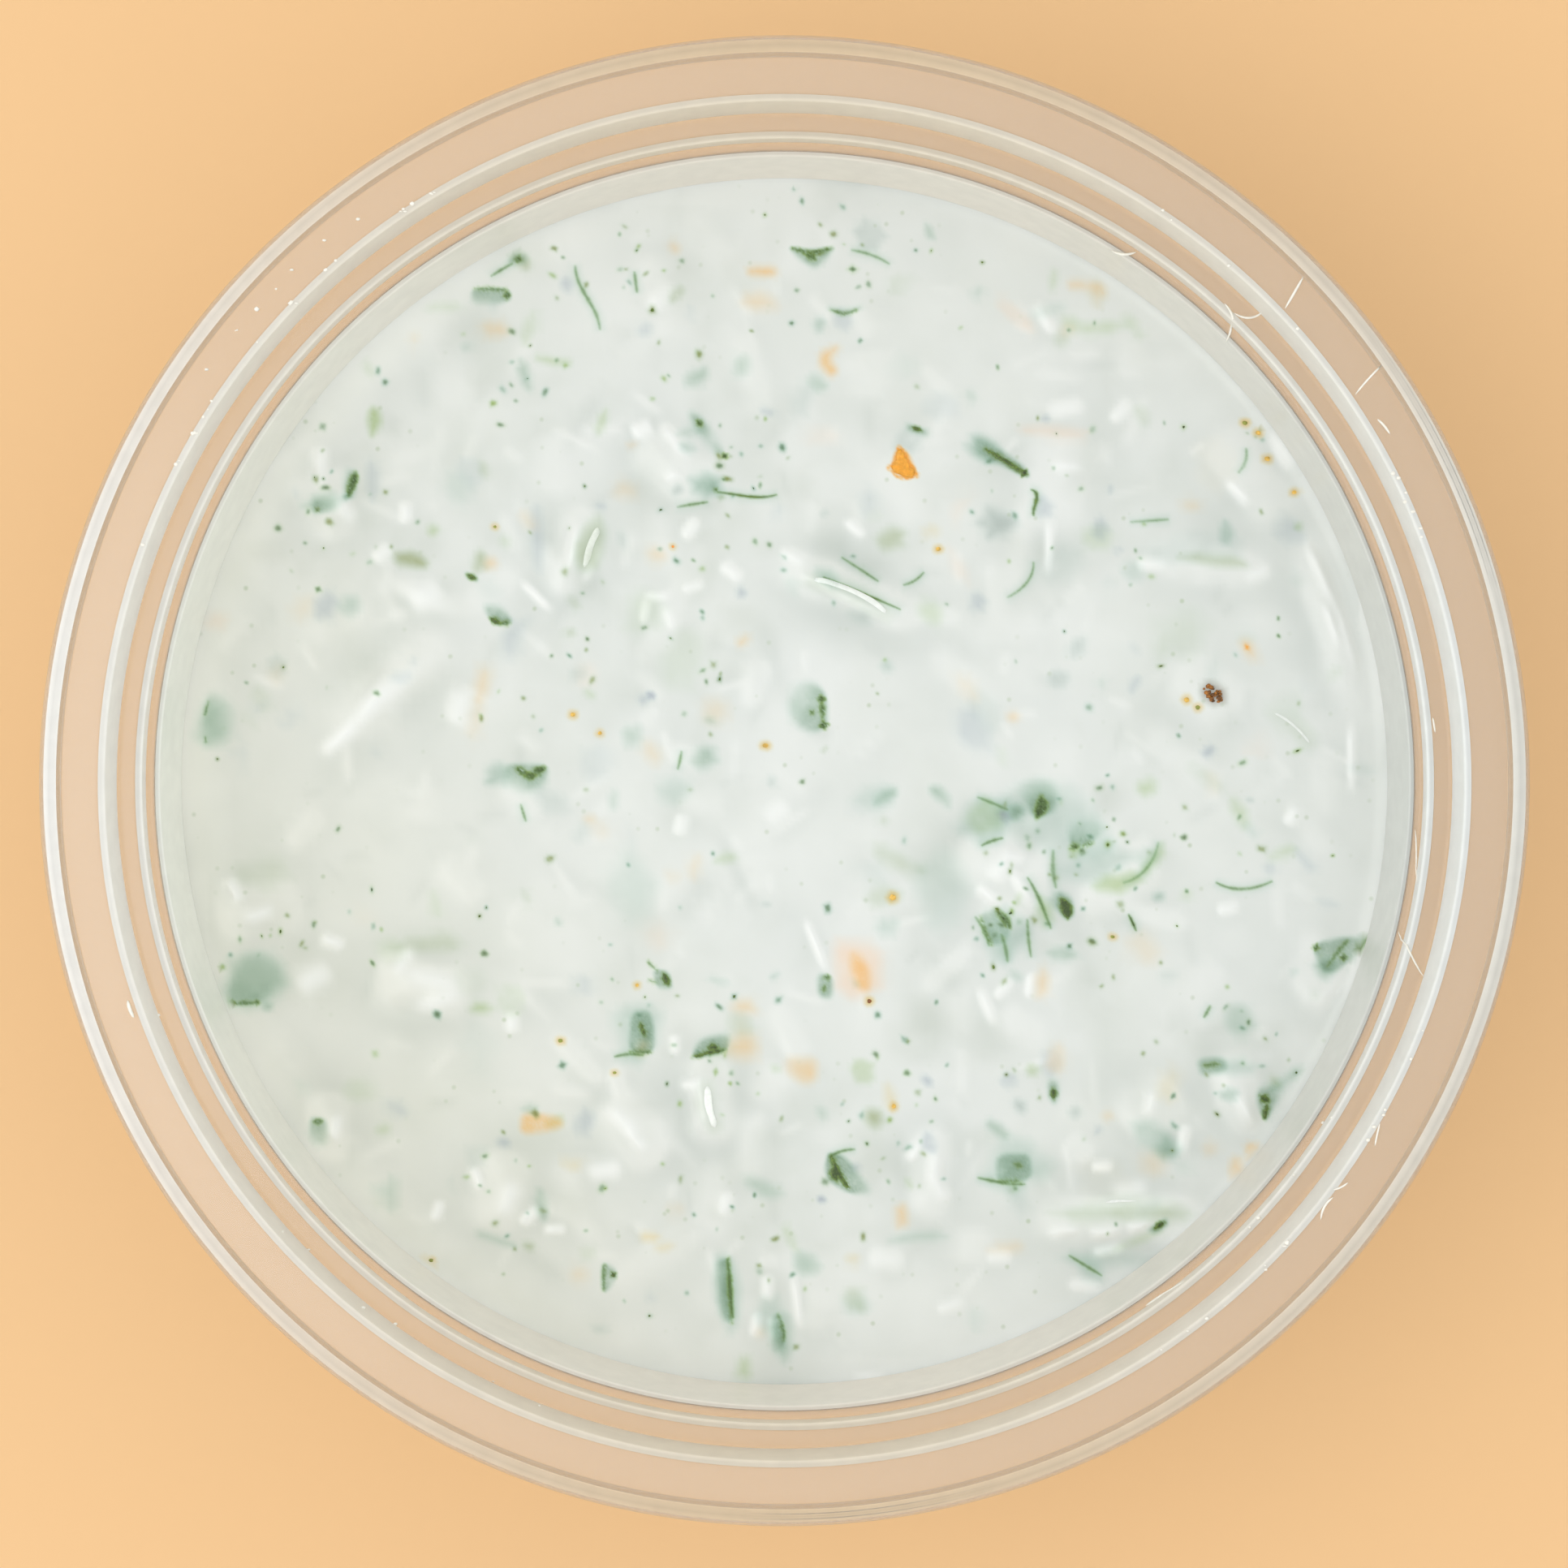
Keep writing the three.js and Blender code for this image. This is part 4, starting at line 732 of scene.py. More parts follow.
class Surface:
    """The top of the sauce on a fine raster: its heights, and its colours, which sunk pieces tint, with
    painted shade in hollows, painted highlights on ridge crests, painted light near the left wall and a
    painted warm cast to the lower left.
    """

    def __init__(self):
        self.axis = np.linspace(-SURFACE_RADIUS, SURFACE_RADIUS, RASTER_CELLS + 1)
        self.cell = self.axis[1] - self.axis[0]
        self.x, self.y = np.meshgrid(self.axis, self.axis, indexing="ij")
        self.mottle = 0.6 * self.cloud(0.8) + 0.5 * self.cloud(2.4)
        self.grain = rng.normal(0, 1, self.x.shape)
        self.grain = 0.7 * self.grain + 0.7 * (np.roll(self.grain, 1, 0) + np.roll(self.grain, 1, 1))
        self.ragged = 0.8 * self.cloud(0.5) + 0.6 * self.cloud(0.25)
        self.colours = np.tile(np.array(SAUCE_COLOUR, dtype=float), (*self.x.shape, 1))
        self.crowd = sum(
            np.exp(-((self.x - x) ** 2 + (self.y - y) ** 2) / (2 * (1.3 * spread) ** 2))
            for x, y, spread, _ in SPECK_CLUSTERS
        )
        self.crowd = np.clip(self.crowd, 0, 1)
        haze = 1.1 * self.cloud(5.0) + 0.9 * self.cloud(2.6) + 0.5 * self.cloud(1.3)
        haze = np.clip(haze + 0.3, 0, 3) * (CLEAR_HAZE + (CROWD_HAZE - CLEAR_HAZE) * self.crowd)
        self.tint(-haze, HAZE_TINT)
        # Painted light: a warm cast, a little darker, towards the lower left where the lamp stands.
        lamp_side_warmth = smooth_step(8, 50, -(self.x + 0.45 * self.y))
        self.tint(-lamp_side_warmth, LAMP_SIDE_WARM_TINT)
        self.heights = np.zeros(self.x.shape)
        for row in MOUNDS + small_mounds(*SEEDED_MOUNDS):
            self.raise_mound(*row)
        for row in small_mounds(*SEEDED_RIPPLES):
            self.raise_mound(*row)
        for x, y, along, across, peak, heading in RIDGES:
            across, peak = RIDGE_SPREAD * across, RIDGE_RISE * peak
            self.raise_mound(x, y, along, across, peak, heading, RIDGE_HIGHLIGHT_SHARE)
        self.heights += 0.05 * self.cloud(7.0) + 0.012 * self.cloud(2.2)
        # Painted shade: darker where the surface lies below its blurred self, in dimples and beside ridges,
        # and a little lighter on crests.
        for reach in (HOLLOW_SHADE_REACH, 3 * HOLLOW_SHADE_REACH):
            hollow_shade = np.clip(self.blurred(self.heights, reach) - self.heights, -0.02, 0.15)
            self.tint(-hollow_shade, HOLLOW_SHADE_TINT)
        # Painted light: the sauce lightened in a band next to the wall, mostly on the left.
        inward = wall_radius(SAUCE_LEVEL) - np.hypot(self.x, self.y)
        ring = smooth_step(4.5, 1.0, inward) * smooth_step(-5, 40, -self.x)
        self.tint(ring, LEFT_WALL_LIGHT_TINT)
        self.heights *= smooth_step(0, RELIEF_FADE, inward)
        self.heights += SAUCE_LEVEL + MENISCUS_HEIGHT * np.exp(-np.maximum(inward, 0) / MENISCUS_REACH)

    def tint(self, amount, colour):
        self.colours += amount[..., None] * np.array(colour)

    def cloud(self, grain):
        """Smooth seeded noise over the raster."""
        coarse = rng.normal(0, 0.6, (int(2 * SURFACE_RADIUS / grain) + 3,) * 2)
        t = np.linspace(0, len(coarse) - 1.01, len(self.axis))
        i, f = t.astype(int), smooth_step(0, 1, t % 1)
        rows = coarse[i] * (1 - f)[:, None] + coarse[i + 1] * f[:, None]
        return rows[:, i] * (1 - f) + rows[:, i + 1] * f

    def blurred(self, raster, reach):
        """A raster averaged over squares, twice."""
        for axis in (0, 1, 0, 1):
            total = np.cumsum(raster, axis=axis)
            raster = (np.roll(total, -reach, axis) - np.roll(total, reach, axis)) / (2 * reach)
            ends = [slice(None)] * 2
            for ends[axis] in (slice(0, reach), slice(-reach, None)):
                raster[tuple(ends)] = 0
        return raster

    def window(self, x, y, reach):
        """The part of the raster round a place, and the points in it."""
        part = []
        for v in (x, y):
            low = np.clip((v - reach + SURFACE_RADIUS) / self.cell, 0, RASTER_CELLS)
            high = np.clip((v + reach + SURFACE_RADIUS) / self.cell + 2, 1, RASTER_CELLS + 1)
            part.append(slice(int(low), int(high)))
        part = tuple(part)
        return part, np.stack([self.x[part], self.y[part]], axis=-1).reshape(-1, 2)

    def raise_mound(self, x, y, along, across, peak, heading, crest_highlight=0.0):
        part, points = self.window(x, y, 2.6 * along)
        u, v = (turned(points - (x, y), -heading) / (along, across)).T
        crest = np.exp(-(u ** 4 + v * v)).reshape(self.x[part].shape)
        self.heights[part] += peak * crest
        # Painted highlight: the crest's colour drawn towards a lighter one.
        if peak > 0:
            white = np.clip(crest * crest_highlight, 0, 1)[..., None]
            self.colours[part] += (np.array(CREST_HIGHLIGHT_COLOUR) - self.colours[part]) * white

    def stain(self, part, kind, cover):
        """Tints a part of the surface as a sunk piece shows through it."""
        patch = self.colours[part]
        cover = np.clip(cover.reshape(patch.shape[:2]), 0, 1)
        amount = cover[..., None] ** np.array(SCATTER)
        self.colours[part] = patch - (patch - np.array(STAINS[kind])) * amount

    def veil(self, outline, kind, depth, strength=1.0):
        """Tints the surface over a sunk piece; depth is a number or gives the depth at points (n, 2)."""
        middle = outline.mean(axis=0)
        reach = np.abs(outline - middle).max() + VEIL_REACH
        part, points = self.window(*middle, reach)
        below = np.maximum(depth(points) if callable(depth) else np.full(len(points), depth), 0)
        blur = (0.1 + np.minimum(below, 0.9)) * (1.5 if kind == "carrot" else 1)
        cover = smooth_step(blur, -blur, polygon_distance(points, outline))
        fade = np.exp(-below / VEIL_FADE) if callable(depth) else 1.0
        rough = 1 + 0.34 * self.mottle[part].ravel() + 0.08 * self.grain[part].ravel() * np.exp(-below / 0.3)
        self.stain(part, kind, strength * cover * fade * rough)

    def sample(self, raster, points):
        """Values of a raster at points (n, 2)."""
        place = np.clip((points + SURFACE_RADIUS) / self.cell, 0, RASTER_CELLS - 1e-6)
        i, j = place.astype(int).T
        f, g = (place % 1).T
        if raster.ndim == 3:
            f, g = f[:, None], g[:, None]
        near = raster[i, j] * (1 - g) + raster[i, j + 1] * g
        far = raster[i + 1, j] * (1 - g) + raster[i + 1, j + 1] * g
        return near * (1 - f) + far * f

    def height(self, points):
        return self.sample(self.heights, points)

    def laid(self, vertices, x, y):
        """A small piece moved to a place on the surface."""
        return vertices + (x, y, float(self.height(np.array([[x, y]]))[0]))

    def kept_points(self):
        """Raster points that the surface needs: all of them where it changes fast, few where it is smooth."""
        heights = self.heights[..., None] / HEIGHT_TOLERANCE
        fields = np.concatenate([self.colours / COLOUR_TOLERANCE, heights], axis=-1)
        inside = np.hypot(self.x, self.y) < SURFACE_RADIUS - RIM_STEPS[-1] - 0.1
        errors = []
        for step in (1, 2, 4, 8):
            level = fields[::step, ::step]
            bend = np.zeros(level.shape[:2])
            bend[1:-1] = np.abs(level[1:-1] - (level[:-2] + level[2:]) / 2).max(axis=-1)
            across = np.abs(level[:, 1:-1] - (level[:, :-2] + level[:, 2:]) / 2).max(axis=-1)
            bend[:, 1:-1] = np.maximum(bend[:, 1:-1], across)
            errors.append((step, bend))
        limit = 1.0
        while True:
            kept = np.zeros(self.x.shape, dtype=bool)
            kept[::COARSEST_STEP, ::COARSEST_STEP] = True
            for step, bend in errors:
                wanted = bend > limit
                for axis in (0, 1):
                    wanted = wanted | np.roll(wanted, 1, axis) | np.roll(wanted, -1, axis)
                kept[::step, ::step] |= wanted
            if (kept & inside).sum() < SURFACE_POINTS:
                return np.stack([self.x[kept & inside], self.y[kept & inside]], axis=-1)
            limit *= LIMIT_GROWTH


def make_sauce(surface):
    """The body of the sauce: its surface, and sides and floor that reach just into the tub."""
    angles = circle_angles(RIM_POINTS)
    circle = np.stack([np.cos(angles), np.sin(angles)], axis=-1)
    flat = np.concatenate([*[circle * (SURFACE_RADIUS - step) for step in RIM_STEPS], surface.kept_points()])
    triangles = delaunay_2d_cdt([Vector(point) for point in flat.tolist()], [], [], 0, CLOSEST)[2]
    triangles = facing_up(flat, np.array(triangles))
    rings, faces = [np.column_stack([flat, surface.height(flat)])], triangles.tolist()
    upper = np.arange(RIM_POINTS)
    sides = [(wall_radius(SIDE_BREAK_Z), SIDE_BREAK_Z), *reversed(base_corner(SIDE_RINGS))]
    for step, (radius, z) in enumerate(sides):
        lower = len(flat) + step * RIM_POINTS + np.arange(RIM_POINTS)
        overlap = 0 if step == SIDE_RINGS + 1 else SAUCE_OVERLAP
        rings.append(np.column_stack([circle * (radius + overlap), np.full(RIM_POINTS, z - SAUCE_OVERLAP)]))
        faces += np.stack([upper, lower, np.roll(lower, -1), np.roll(upper, -1)], axis=-1).tolist()
        upper = lower
    vertices = np.concatenate([*rings, [[0, 0, WALL - SAUCE_OVERLAP]]])
    faces += [[len(vertices) - 1, b, a] for a, b in zip(upper.tolist(), np.roll(upper, -1).tolist())]
    # Painted light: the sides are given a much lighter colour than the top, to stand in for light that the
    # clear wall holds back.
    colours = np.tile(linear(BRIGHTENED_SIDE_COLOUR), (len(vertices), 1))
    colours[:len(flat)] = linear(surface.sample(surface.colours, flat))
    piece = build_mesh("white_sauce", vertices, faces, wet_sauce(), colours)
    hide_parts("sauce")
    return piece


# ---- Pieces in the sauce ----
STRIP_SIDES = 8
FAR_AWAY = 9
THREAD_POINTS = 14
SHRED_POINTS = 26
STRING_POINTS = 12
SPECK_REACH = 47
SUNKEN_REACH = 47.5
BARE_SPECK_SHARE = 0.13
PEPPER_GRAINS = 34
SUNKEN_KINDS = ("herb", "teal", "lime", "violet", "olive", "grey", "violet", "carrot")


def slab(outline, rings, thickness, lift):
    """Vertices and faces of a small thin piece; lift(points) gives the height of its middle."""
    corners = len(outline)
    flat = np.concatenate([np.zeros((1, 2)), *[outline * ring for ring in rings]])
    edge = np.concatenate([[0], np.repeat(rings, corners)])
    half = thickness / 2 * np.sqrt(np.maximum(1.08 - edge ** 2, 0.08))
    middle = lift(flat)
    upper = np.column_stack([flat, middle + half])
    lower = np.column_stack([flat, middle - half])
    count = len(flat)
    faces = []
    for i in range(corners):
        j = (i + 1) % corners
        faces.append([0, 1 + i, 1 + j])
        faces.append([count, count + 1 + j, count + 1 + i])
        for ring in range(len(rings) - 1):
            a, b = 1 + ring * corners, 1 + (ring + 1) * corners
            faces += [[a + i, b + i, b + j], [a + i, b + j, a + j]]
            faces += [[count + a + i, count + b + j, count + b + i]]
            faces += [[count + a + i, count + a + j, count + b + j]]
        last = 1 + (len(rings) - 1) * corners
        faces.append([last + i, count + last + i, count + last + j, last + j])
    return np.concatenate([upper, lower]), faces


def rounded(outline, step):
    """A closed outline with its corners softened and points about a step apart."""
    outline = np.array(outline, dtype=float)
    for _ in range(2):
        following = np.roll(outline, -1, axis=0)
        cut = [0.8 * outline + 0.2 * following, 0.2 * outline + 0.8 * following]
        outline = np.stack(cut, axis=1).reshape(-1, 2)
    following = np.roll(outline, -1, axis=0)
    counts = np.maximum(np.round(np.linalg.norm(following - outline, axis=1) / step), 1).astype(int)
    sides = zip(outline, following, counts)
    return np.concatenate([a + (b - a) * np.arange(n)[:, None] / n for a, b, n in sides])


def plate(outline, step, thickness, top):
    """Vertices and faces of a thin closed piece over an outline, both faces split alike."""
    low, high = outline.min(axis=0), outline.max(axis=0)
    inner = np.stack(np.meshgrid(*[np.arange(low[k], high[k], step) for k in (0, 1)]), axis=-1).reshape(-1, 2)
    inner = inner + rng.uniform(-0.1, 0.1, inner.shape) * step
    flat = np.concatenate([outline, inner[polygon_distance(inner, outline) < -0.45 * step]])
    border = list(range(len(outline)))
    result = delaunay_2d_cdt([Vector(point) for point in flat.tolist()], [], [border], 1, CLOSEST)
    flat = np.array([tuple(point) for point in result[0]])
    triangles = facing_up(flat, np.array(result[2]))
    edges = {(a, b) for triangle in triangles.tolist() for a, b in zip(triangle, triangle[1:] + triangle[:1])}
    count, height = len(flat), top(flat)
    faces = triangles.tolist() + (triangles[:, ::-1] + count).tolist()
    faces += [[b, a, a + count, b + count] for a, b in sorted(edges) if (b, a) not in edges]
    levels = [np.column_stack([flat, level]) for level in (height, height - thickness)]
    return np.concatenate(levels), faces


def stroke_distance(points, width, path):
    """Distance from points to a stroke that tapers to both ends, negative on it."""
    start, edge = np.array(path[:-1], dtype=float), np.diff(np.array(path, dtype=float), axis=0)
    offset = points[:, None, :] - start[None]
    t = np.clip((offset * edge).sum(-1) / (edge * edge).sum(-1), 0, 1)
    along = 2 * (np.arange(len(edge)) + t) / len(edge) - 1
    half = width / 2 * (1.1 - 0.9 * np.abs(along) ** 2.5)
    return (np.linalg.norm(offset - t[..., None] * edge, axis=-1) - half).min(axis=1)


def add_chunk(parts, surface, kind, outline, strokes, depth, slope, thickness, step):
    """A chopped piece under the surface that rises to it along its strokes; a shallow one is bare there."""
    outline = rounded(np.array(outline), step)
    shallow = depth < BARE_DEPTH
    wide = [stroke for stroke in strokes if shallow and stroke[0] >= BARE_WIDTH]

    def away(points, rows):
        ragged = RAGGED * surface.sample(surface.ragged, points)
        distances = [stroke_distance(points, *row) + ragged for row in rows]
        return np.min([np.full(len(points), FAR_AWAY), *distances], axis=0)

    def below(points):
        if not strokes:
            return np.full(len(points), depth)
        gap = away(points, strokes)
        rim = depth * smooth_step(-0.04, 0.16, gap) + slope * np.clip(gap, 0, 3)
        return np.maximum(rim, 0.04) - (BARE_RISE + 0.04) * smooth_step(0.04, -0.06, away(points, wide))

    def top(points):
        edge = np.clip(1 + polygon_distance(points, outline) / (0.6 * thickness), 0, 1)
        return surface.height(points) - below(points) - 0.4 * thickness * edge ** 2 * (below(points) > 0.02)

    vertices, faces = plate(outline, step, thickness, top)
    dark, light = (linear(colour) for colour in BARE_COLOURS[kind])
    mix = smooth_step(-0.22, 0.0, away(vertices[:, :2], strokes)) + 0.3 * rng.normal(0, 0.6, len(vertices))
    mix = np.clip(mix, 0, 1)[:, None]
    parts.add(vertices, faces, dark * (1 - mix) + light * mix)
    surface.veil(outline, kind, below, VEIL_STRENGTH[kind])
    middle = outline.mean(axis=0)
    part, points = surface.window(*middle, np.abs(outline - middle).max() + VEIL_REACH)
    grain = 1 + 0.25 * surface.grain[part].ravel() + 0.3 * surface.mottle[part].ravel()
    for width, path in strokes:
        near = away(points, [(width, path)])
        strength = min(1, 0.35 + 1.4 * width) * grain
        fringe = smooth_step(FRINGE, -0.1, near)
        if kind == "herb":
            dark_share = 0.75 if shallow else 0.55
            surface.stain(part, "lime", 0.5 * strength * fringe)
            surface.stain(part, "dark", dark_share * strength * smooth_step(0.12, -0.2, near))
        else:
            surface.stain(part, kind, 0.75 * strength * fringe)


def strip(path, widths, thickness, lift):
    """Vertices and faces of a rounded strip along a path (n, 2); lift gives the height at each point."""
    angles = circle_angles(STRIP_SIDES)
    rings = []
    for point, across, width, height in zip(path, sideways(path), widths, lift(path)):
        flat = point + across[None] * (np.cos(angles) * width / 2)[:, None]
        swell = np.sin(angles) * thickness / 2 * min(1, width / widths.max() + 0.2)
        rings.append(np.column_stack([flat, height + swell]))
    sides, count = len(angles), len(path)
    faces = [[(count - 1) * sides + k for k in range(sides)], list(range(sides))[::-1]]
    for i in range(count - 1):
        for k in range(sides):
            a, b = i * sides + k, i * sides + (k + 1) % sides
            faces.append([a, b, b + sides, a + sides])
    return np.concatenate(rings), faces


def curve_through(points, count):
    """Evenly spaced points on a smooth curve through listed ones."""
    points = np.array(points, dtype=float)
    knots = np.concatenate([[0], np.cumsum(np.linalg.norm(np.diff(points, axis=0), axis=1))])
    degree = min(len(points) - 1, 3)
    t = np.linspace(0, knots[-1], count)
    return np.column_stack([np.polyval(np.polyfit(knots, points[:, k], degree), t) for k in range(2)])


def ribbon_outline(path, widths):
    """Closed outline round a path."""
    reach = sideways(path) * (widths / 2)[:, None]
    return np.concatenate([path + reach, (path - reach)[::-1]])


def add_thread(parts, surface, width, depth, points):
    path = curve_through(points, THREAD_POINTS)
    along = np.linspace(-1, 1, THREAD_POINTS)
    widths = 0.8 * width * (1.1 - 0.85 * np.abs(along) ** 2.5) * rng.uniform(0.75, 1.25, THREAD_POINTS)
    sunk = depth + 0.10 * along ** 4 + 0.4 * width
    vertices, faces = strip(path, widths, width, lambda p: surface.height(p) - sunk)
    parts.add(vertices, faces, leaf_green(rng.uniform(0, 1)))
    strength = math.exp(-depth / 0.2)
    surface.veil(ribbon_outline(path, widths * 1.5), "lime", depth * 0.5 + 0.05, 0.5 * strength)
    surface.veil(ribbon_outline(path, widths * 0.8), "dark", depth * 0.4, 0.6 * strength)
    surface.veil(ribbon_outline(path, widths + 0.5), "herb", 0.35, 0.08)


def add_shred(parts, surface, x, y, length, width, heading, bow, rise):
    t = np.linspace(-1, 1, SHRED_POINTS)
    local = np.column_stack([t * length / 2, bow * (1 - 2 * t * t)])
    path = turned(local, heading) + (x, y)
    widths = width * (1 - 0.8 * np.abs(t) ** 5) * (1 + 0.08 * np.sin(5 * t + x))
    lift = lambda p: surface.height(p) - SHRED_THICKNESS / 2 + rise
    vertices, faces = strip(path, widths, SHRED_THICKNESS, lift)
    above = vertices[:, 2] - surface.height(vertices[:, :2])
    bare = smooth_step(-0.02, 0.1, above)[:, None]
    seen = linear(surface.sample(surface.colours, vertices[:, :2]))
    parts.add(vertices, faces, seen * (1 - bare) + linear(CUCUMBER_COLOUR) * bare)
    # Painted shadow: a faint olive tint round the shred's edge.
    surface.veil(ribbon_outline(path, widths + 0.5), "olive", 0.5, 0.07)


def speck_spots():
    """Places of the fine herb specks: clusters, then scattered ones."""
    spots = []
    for x, y, spread, count in SPECK_CLUSTERS:
        spots += [(x + spread * a, y + spread * b) for a, b in rng.normal(0, 0.6, (count, 2))]
    for _ in range(SCATTERED_SPECKS):
        spots.append(random_spot(SPECK_REACH))
    return [spot for spot in spots if math.hypot(*spot) < SPECK_REACH + 1]


def add_speck(parts, surface, x, y):
    """A fine speck of leaf: some lie bare, most show softly from just under the surface."""
    length = 0.16 + 0.34 * rng.random() ** 2.2
    outline = cut_outline(length, length * rng.uniform(0.4, 0.9), rng.uniform(1.3, 3), 0.2, 8)
    outline = turned(outline, 360 * rng.random())
    kind = ("herb", "olive", "olive", "lime")[rng.integers(4)]
    strength, bare = rng.uniform(0.15, 0.75), rng.random() < BARE_SPECK_SHARE
    surface.veil(outline * 1.8 + (x, y), kind, rng.uniform(0.1, 0.2), 0.35 * strength)
    middle = kind if rng.random() < 0.6 else "dark"
    surface.veil(outline + (x, y), middle, rng.uniform(0.03, 0.1), 0.8 * strength)
    if bare:
        vertices, faces = slab(outline * 0.7, (1.0,), 0.08, lambda points: 0.15 * points[:, 0])
        parts.add(surface.laid(vertices, x, y), faces, leaf_green(rng.random()))


def add_spice(parts, surface, x, y, size, kind):
    outline = cut_outline(size, size * rng.uniform(0.7, 1), 2, 0.12, corners=10)
    surface.veil(outline * 1.35 + (x, y), "spice", 0.2, 0.5)
    vertices, faces = slab(outline, (0.6, 1.0), size * 0.6, lambda points: 0 * points[:, 0] - size * 0.22)
    parts.add(surface.laid(vertices, x, y), faces, linear(SPICE_COLOURS[kind]))


def add_pepper(parts, surface, x, y, length, width, heading):
    """One rough brown flake, built of small grains that touch."""
    outline = turned(cut_outline(length * 1.4, width * 1.5, 2, 0.1), heading) + (x, y)
    surface.veil(outline, "brown", 0.3, 0.3)
    for _ in range(PEPPER_GRAINS):
        u, v = rng.uniform(-0.5, 0.5, 2)
        size = rng.uniform(0.2, 0.42)
        spot = turned(np.array([[u * length, v * width * (1 - abs(u))]]), heading)[0] + (x, y)
        grain = cut_outline(size, size * 0.8, 2, 0.2, corners=8)
        height = 0.08 * (1 - abs(u)) + rng.uniform(-0.1, 0.06)
        vertices, faces = slab(grain, (0.6, 1.0), 0.22, lambda points: height + 0.2 * points[:, 0])
        brown = linear(PEPPER_COLOUR) * rng.uniform(0.4, 1.9)
        parts.add(surface.laid(vertices, *spot), faces, brown)


def sink_hidden_pieces(surface):
    for x, y, length, width, heading, strength, kind in SUNKEN:
        outline = turned(cut_outline(length, width, 2, 0.26), heading) + (x, y)
        depth = 0.25 + 0.12 * min(length, width) + 0.15 * rng.random()
        surface.veil(outline, kind, depth, SUNKEN_GAIN * strength)
    for _ in range(RANDOM_SUNKEN):
        spot = np.array([random_spot(SUNKEN_REACH)])
        crowd = float(surface.sample(surface.crowd, spot)[0])
        size = 0.5 + 2.4 * rng.random() ** 2
        outline = turned(cut_outline(size, size * rng.uniform(0.25, 1), 2, 0.2), 360 * rng.random())
        kind = SUNKEN_KINDS[rng.integers(len(SUNKEN_KINDS))]
        strength = rng.uniform(0.05, 0.28) / (0.7 + 0.5 * size) * (0.45 + 1.2 * crowd)
        surface.veil(outline + spot, kind, rng.uniform(0.2, 0.55), strength)


def make_contents():
    surface = Surface()
    herbs, carrots, shreds, spices = Parts(), Parts(), Parts(), Parts()
    sink_hidden_pieces(surface)
    for row in SHREDS:
        add_shred(shreds, surface, *row)
    for depth, outline, strokes in CARROTS:
        add_chunk(carrots, surface, "carrot", outline, strokes, depth, 0.2, CARROT_HEIGHT, CARROT_STEP)
    for depth, slope, outline, strokes in LEAVES:
        add_chunk(herbs, surface, "herb", outline, strokes, depth, slope, LEAF_THICKNESS, LEAF_STEP)
    for spot in speck_spots():
        add_speck(herbs, surface, *spot)
    for row in THREADS:
        add_thread(herbs, surface, *row)
    for row in SPICES:
        add_spice(spices, surface, *row)
    add_pepper(spices, surface, *PEPPER)
    make_sauce(surface)
    herbs.build("chopped_herbs", wet_piece("wet_leaf", 0.3, 0.3), "herb")
    carrots.build("carrot_bits", wet_piece("wet_carrot", 0.3, 0.15), "carrot")
    shreds.build("cucumber_shreds", wet_piece("wet_cucumber", 0.16, 0.05), "cucumber")
    spices.build("spice_specks", wet_piece("wet_spice", 0.35, 0.3), "spice")


# ---- Film, painted highlights and dried bits on the tub ----
def band(profile, angles, thickness):
    """A thin closed band on the inside of the tub along profile points (radius, height), top first."""
    profile = np.array(profile, dtype=float)
    normal = -sideways(profile)
    over = profile + normal * np.broadcast_to(thickness, len(profile))[:, None]
    inner = tub_vertices([Vector(point) for point in over], angles)
    outer = tub_vertices([Vector(point) for point in profile - normal * FILM_SINK], angles)
    return np.concatenate([inner, outer[:, ::-1]], axis=1)


def film_colours_with_painted_light(angles, grid, left, right, far):
    """Colour of a film at each point, with painted light: by its side of the tub, and duller where it lies
    flat, so that steep parts carry a painted sheen.
    """
    cos, sin = np.cos(angles), np.sin(angles)
    weights = np.stack([np.maximum(-cos, 0), np.maximum(cos, 0), np.abs(sin)], axis=-1) ** 2
    colours = weights @ np.array([linear(left), linear(right), linear(far)])
    ahead = np.gradient(grid[0], axis=0)
    slope = np.abs(ahead[:, 2]) / np.linalg.norm(ahead, axis=1)
    return (colours[:, None] * (1 - FLAT_SHEEN_DROP * (1 - slope))[None, :, None]).reshape(-1, 3)


def closed_ring(grid):
    """Vertices and faces of a ring whose cross-section is closed; grid is (angles, section, 3)."""
    around, section = grid.shape[:2]
    return grid.reshape(-1, 3), ring_faces(around, section, section)


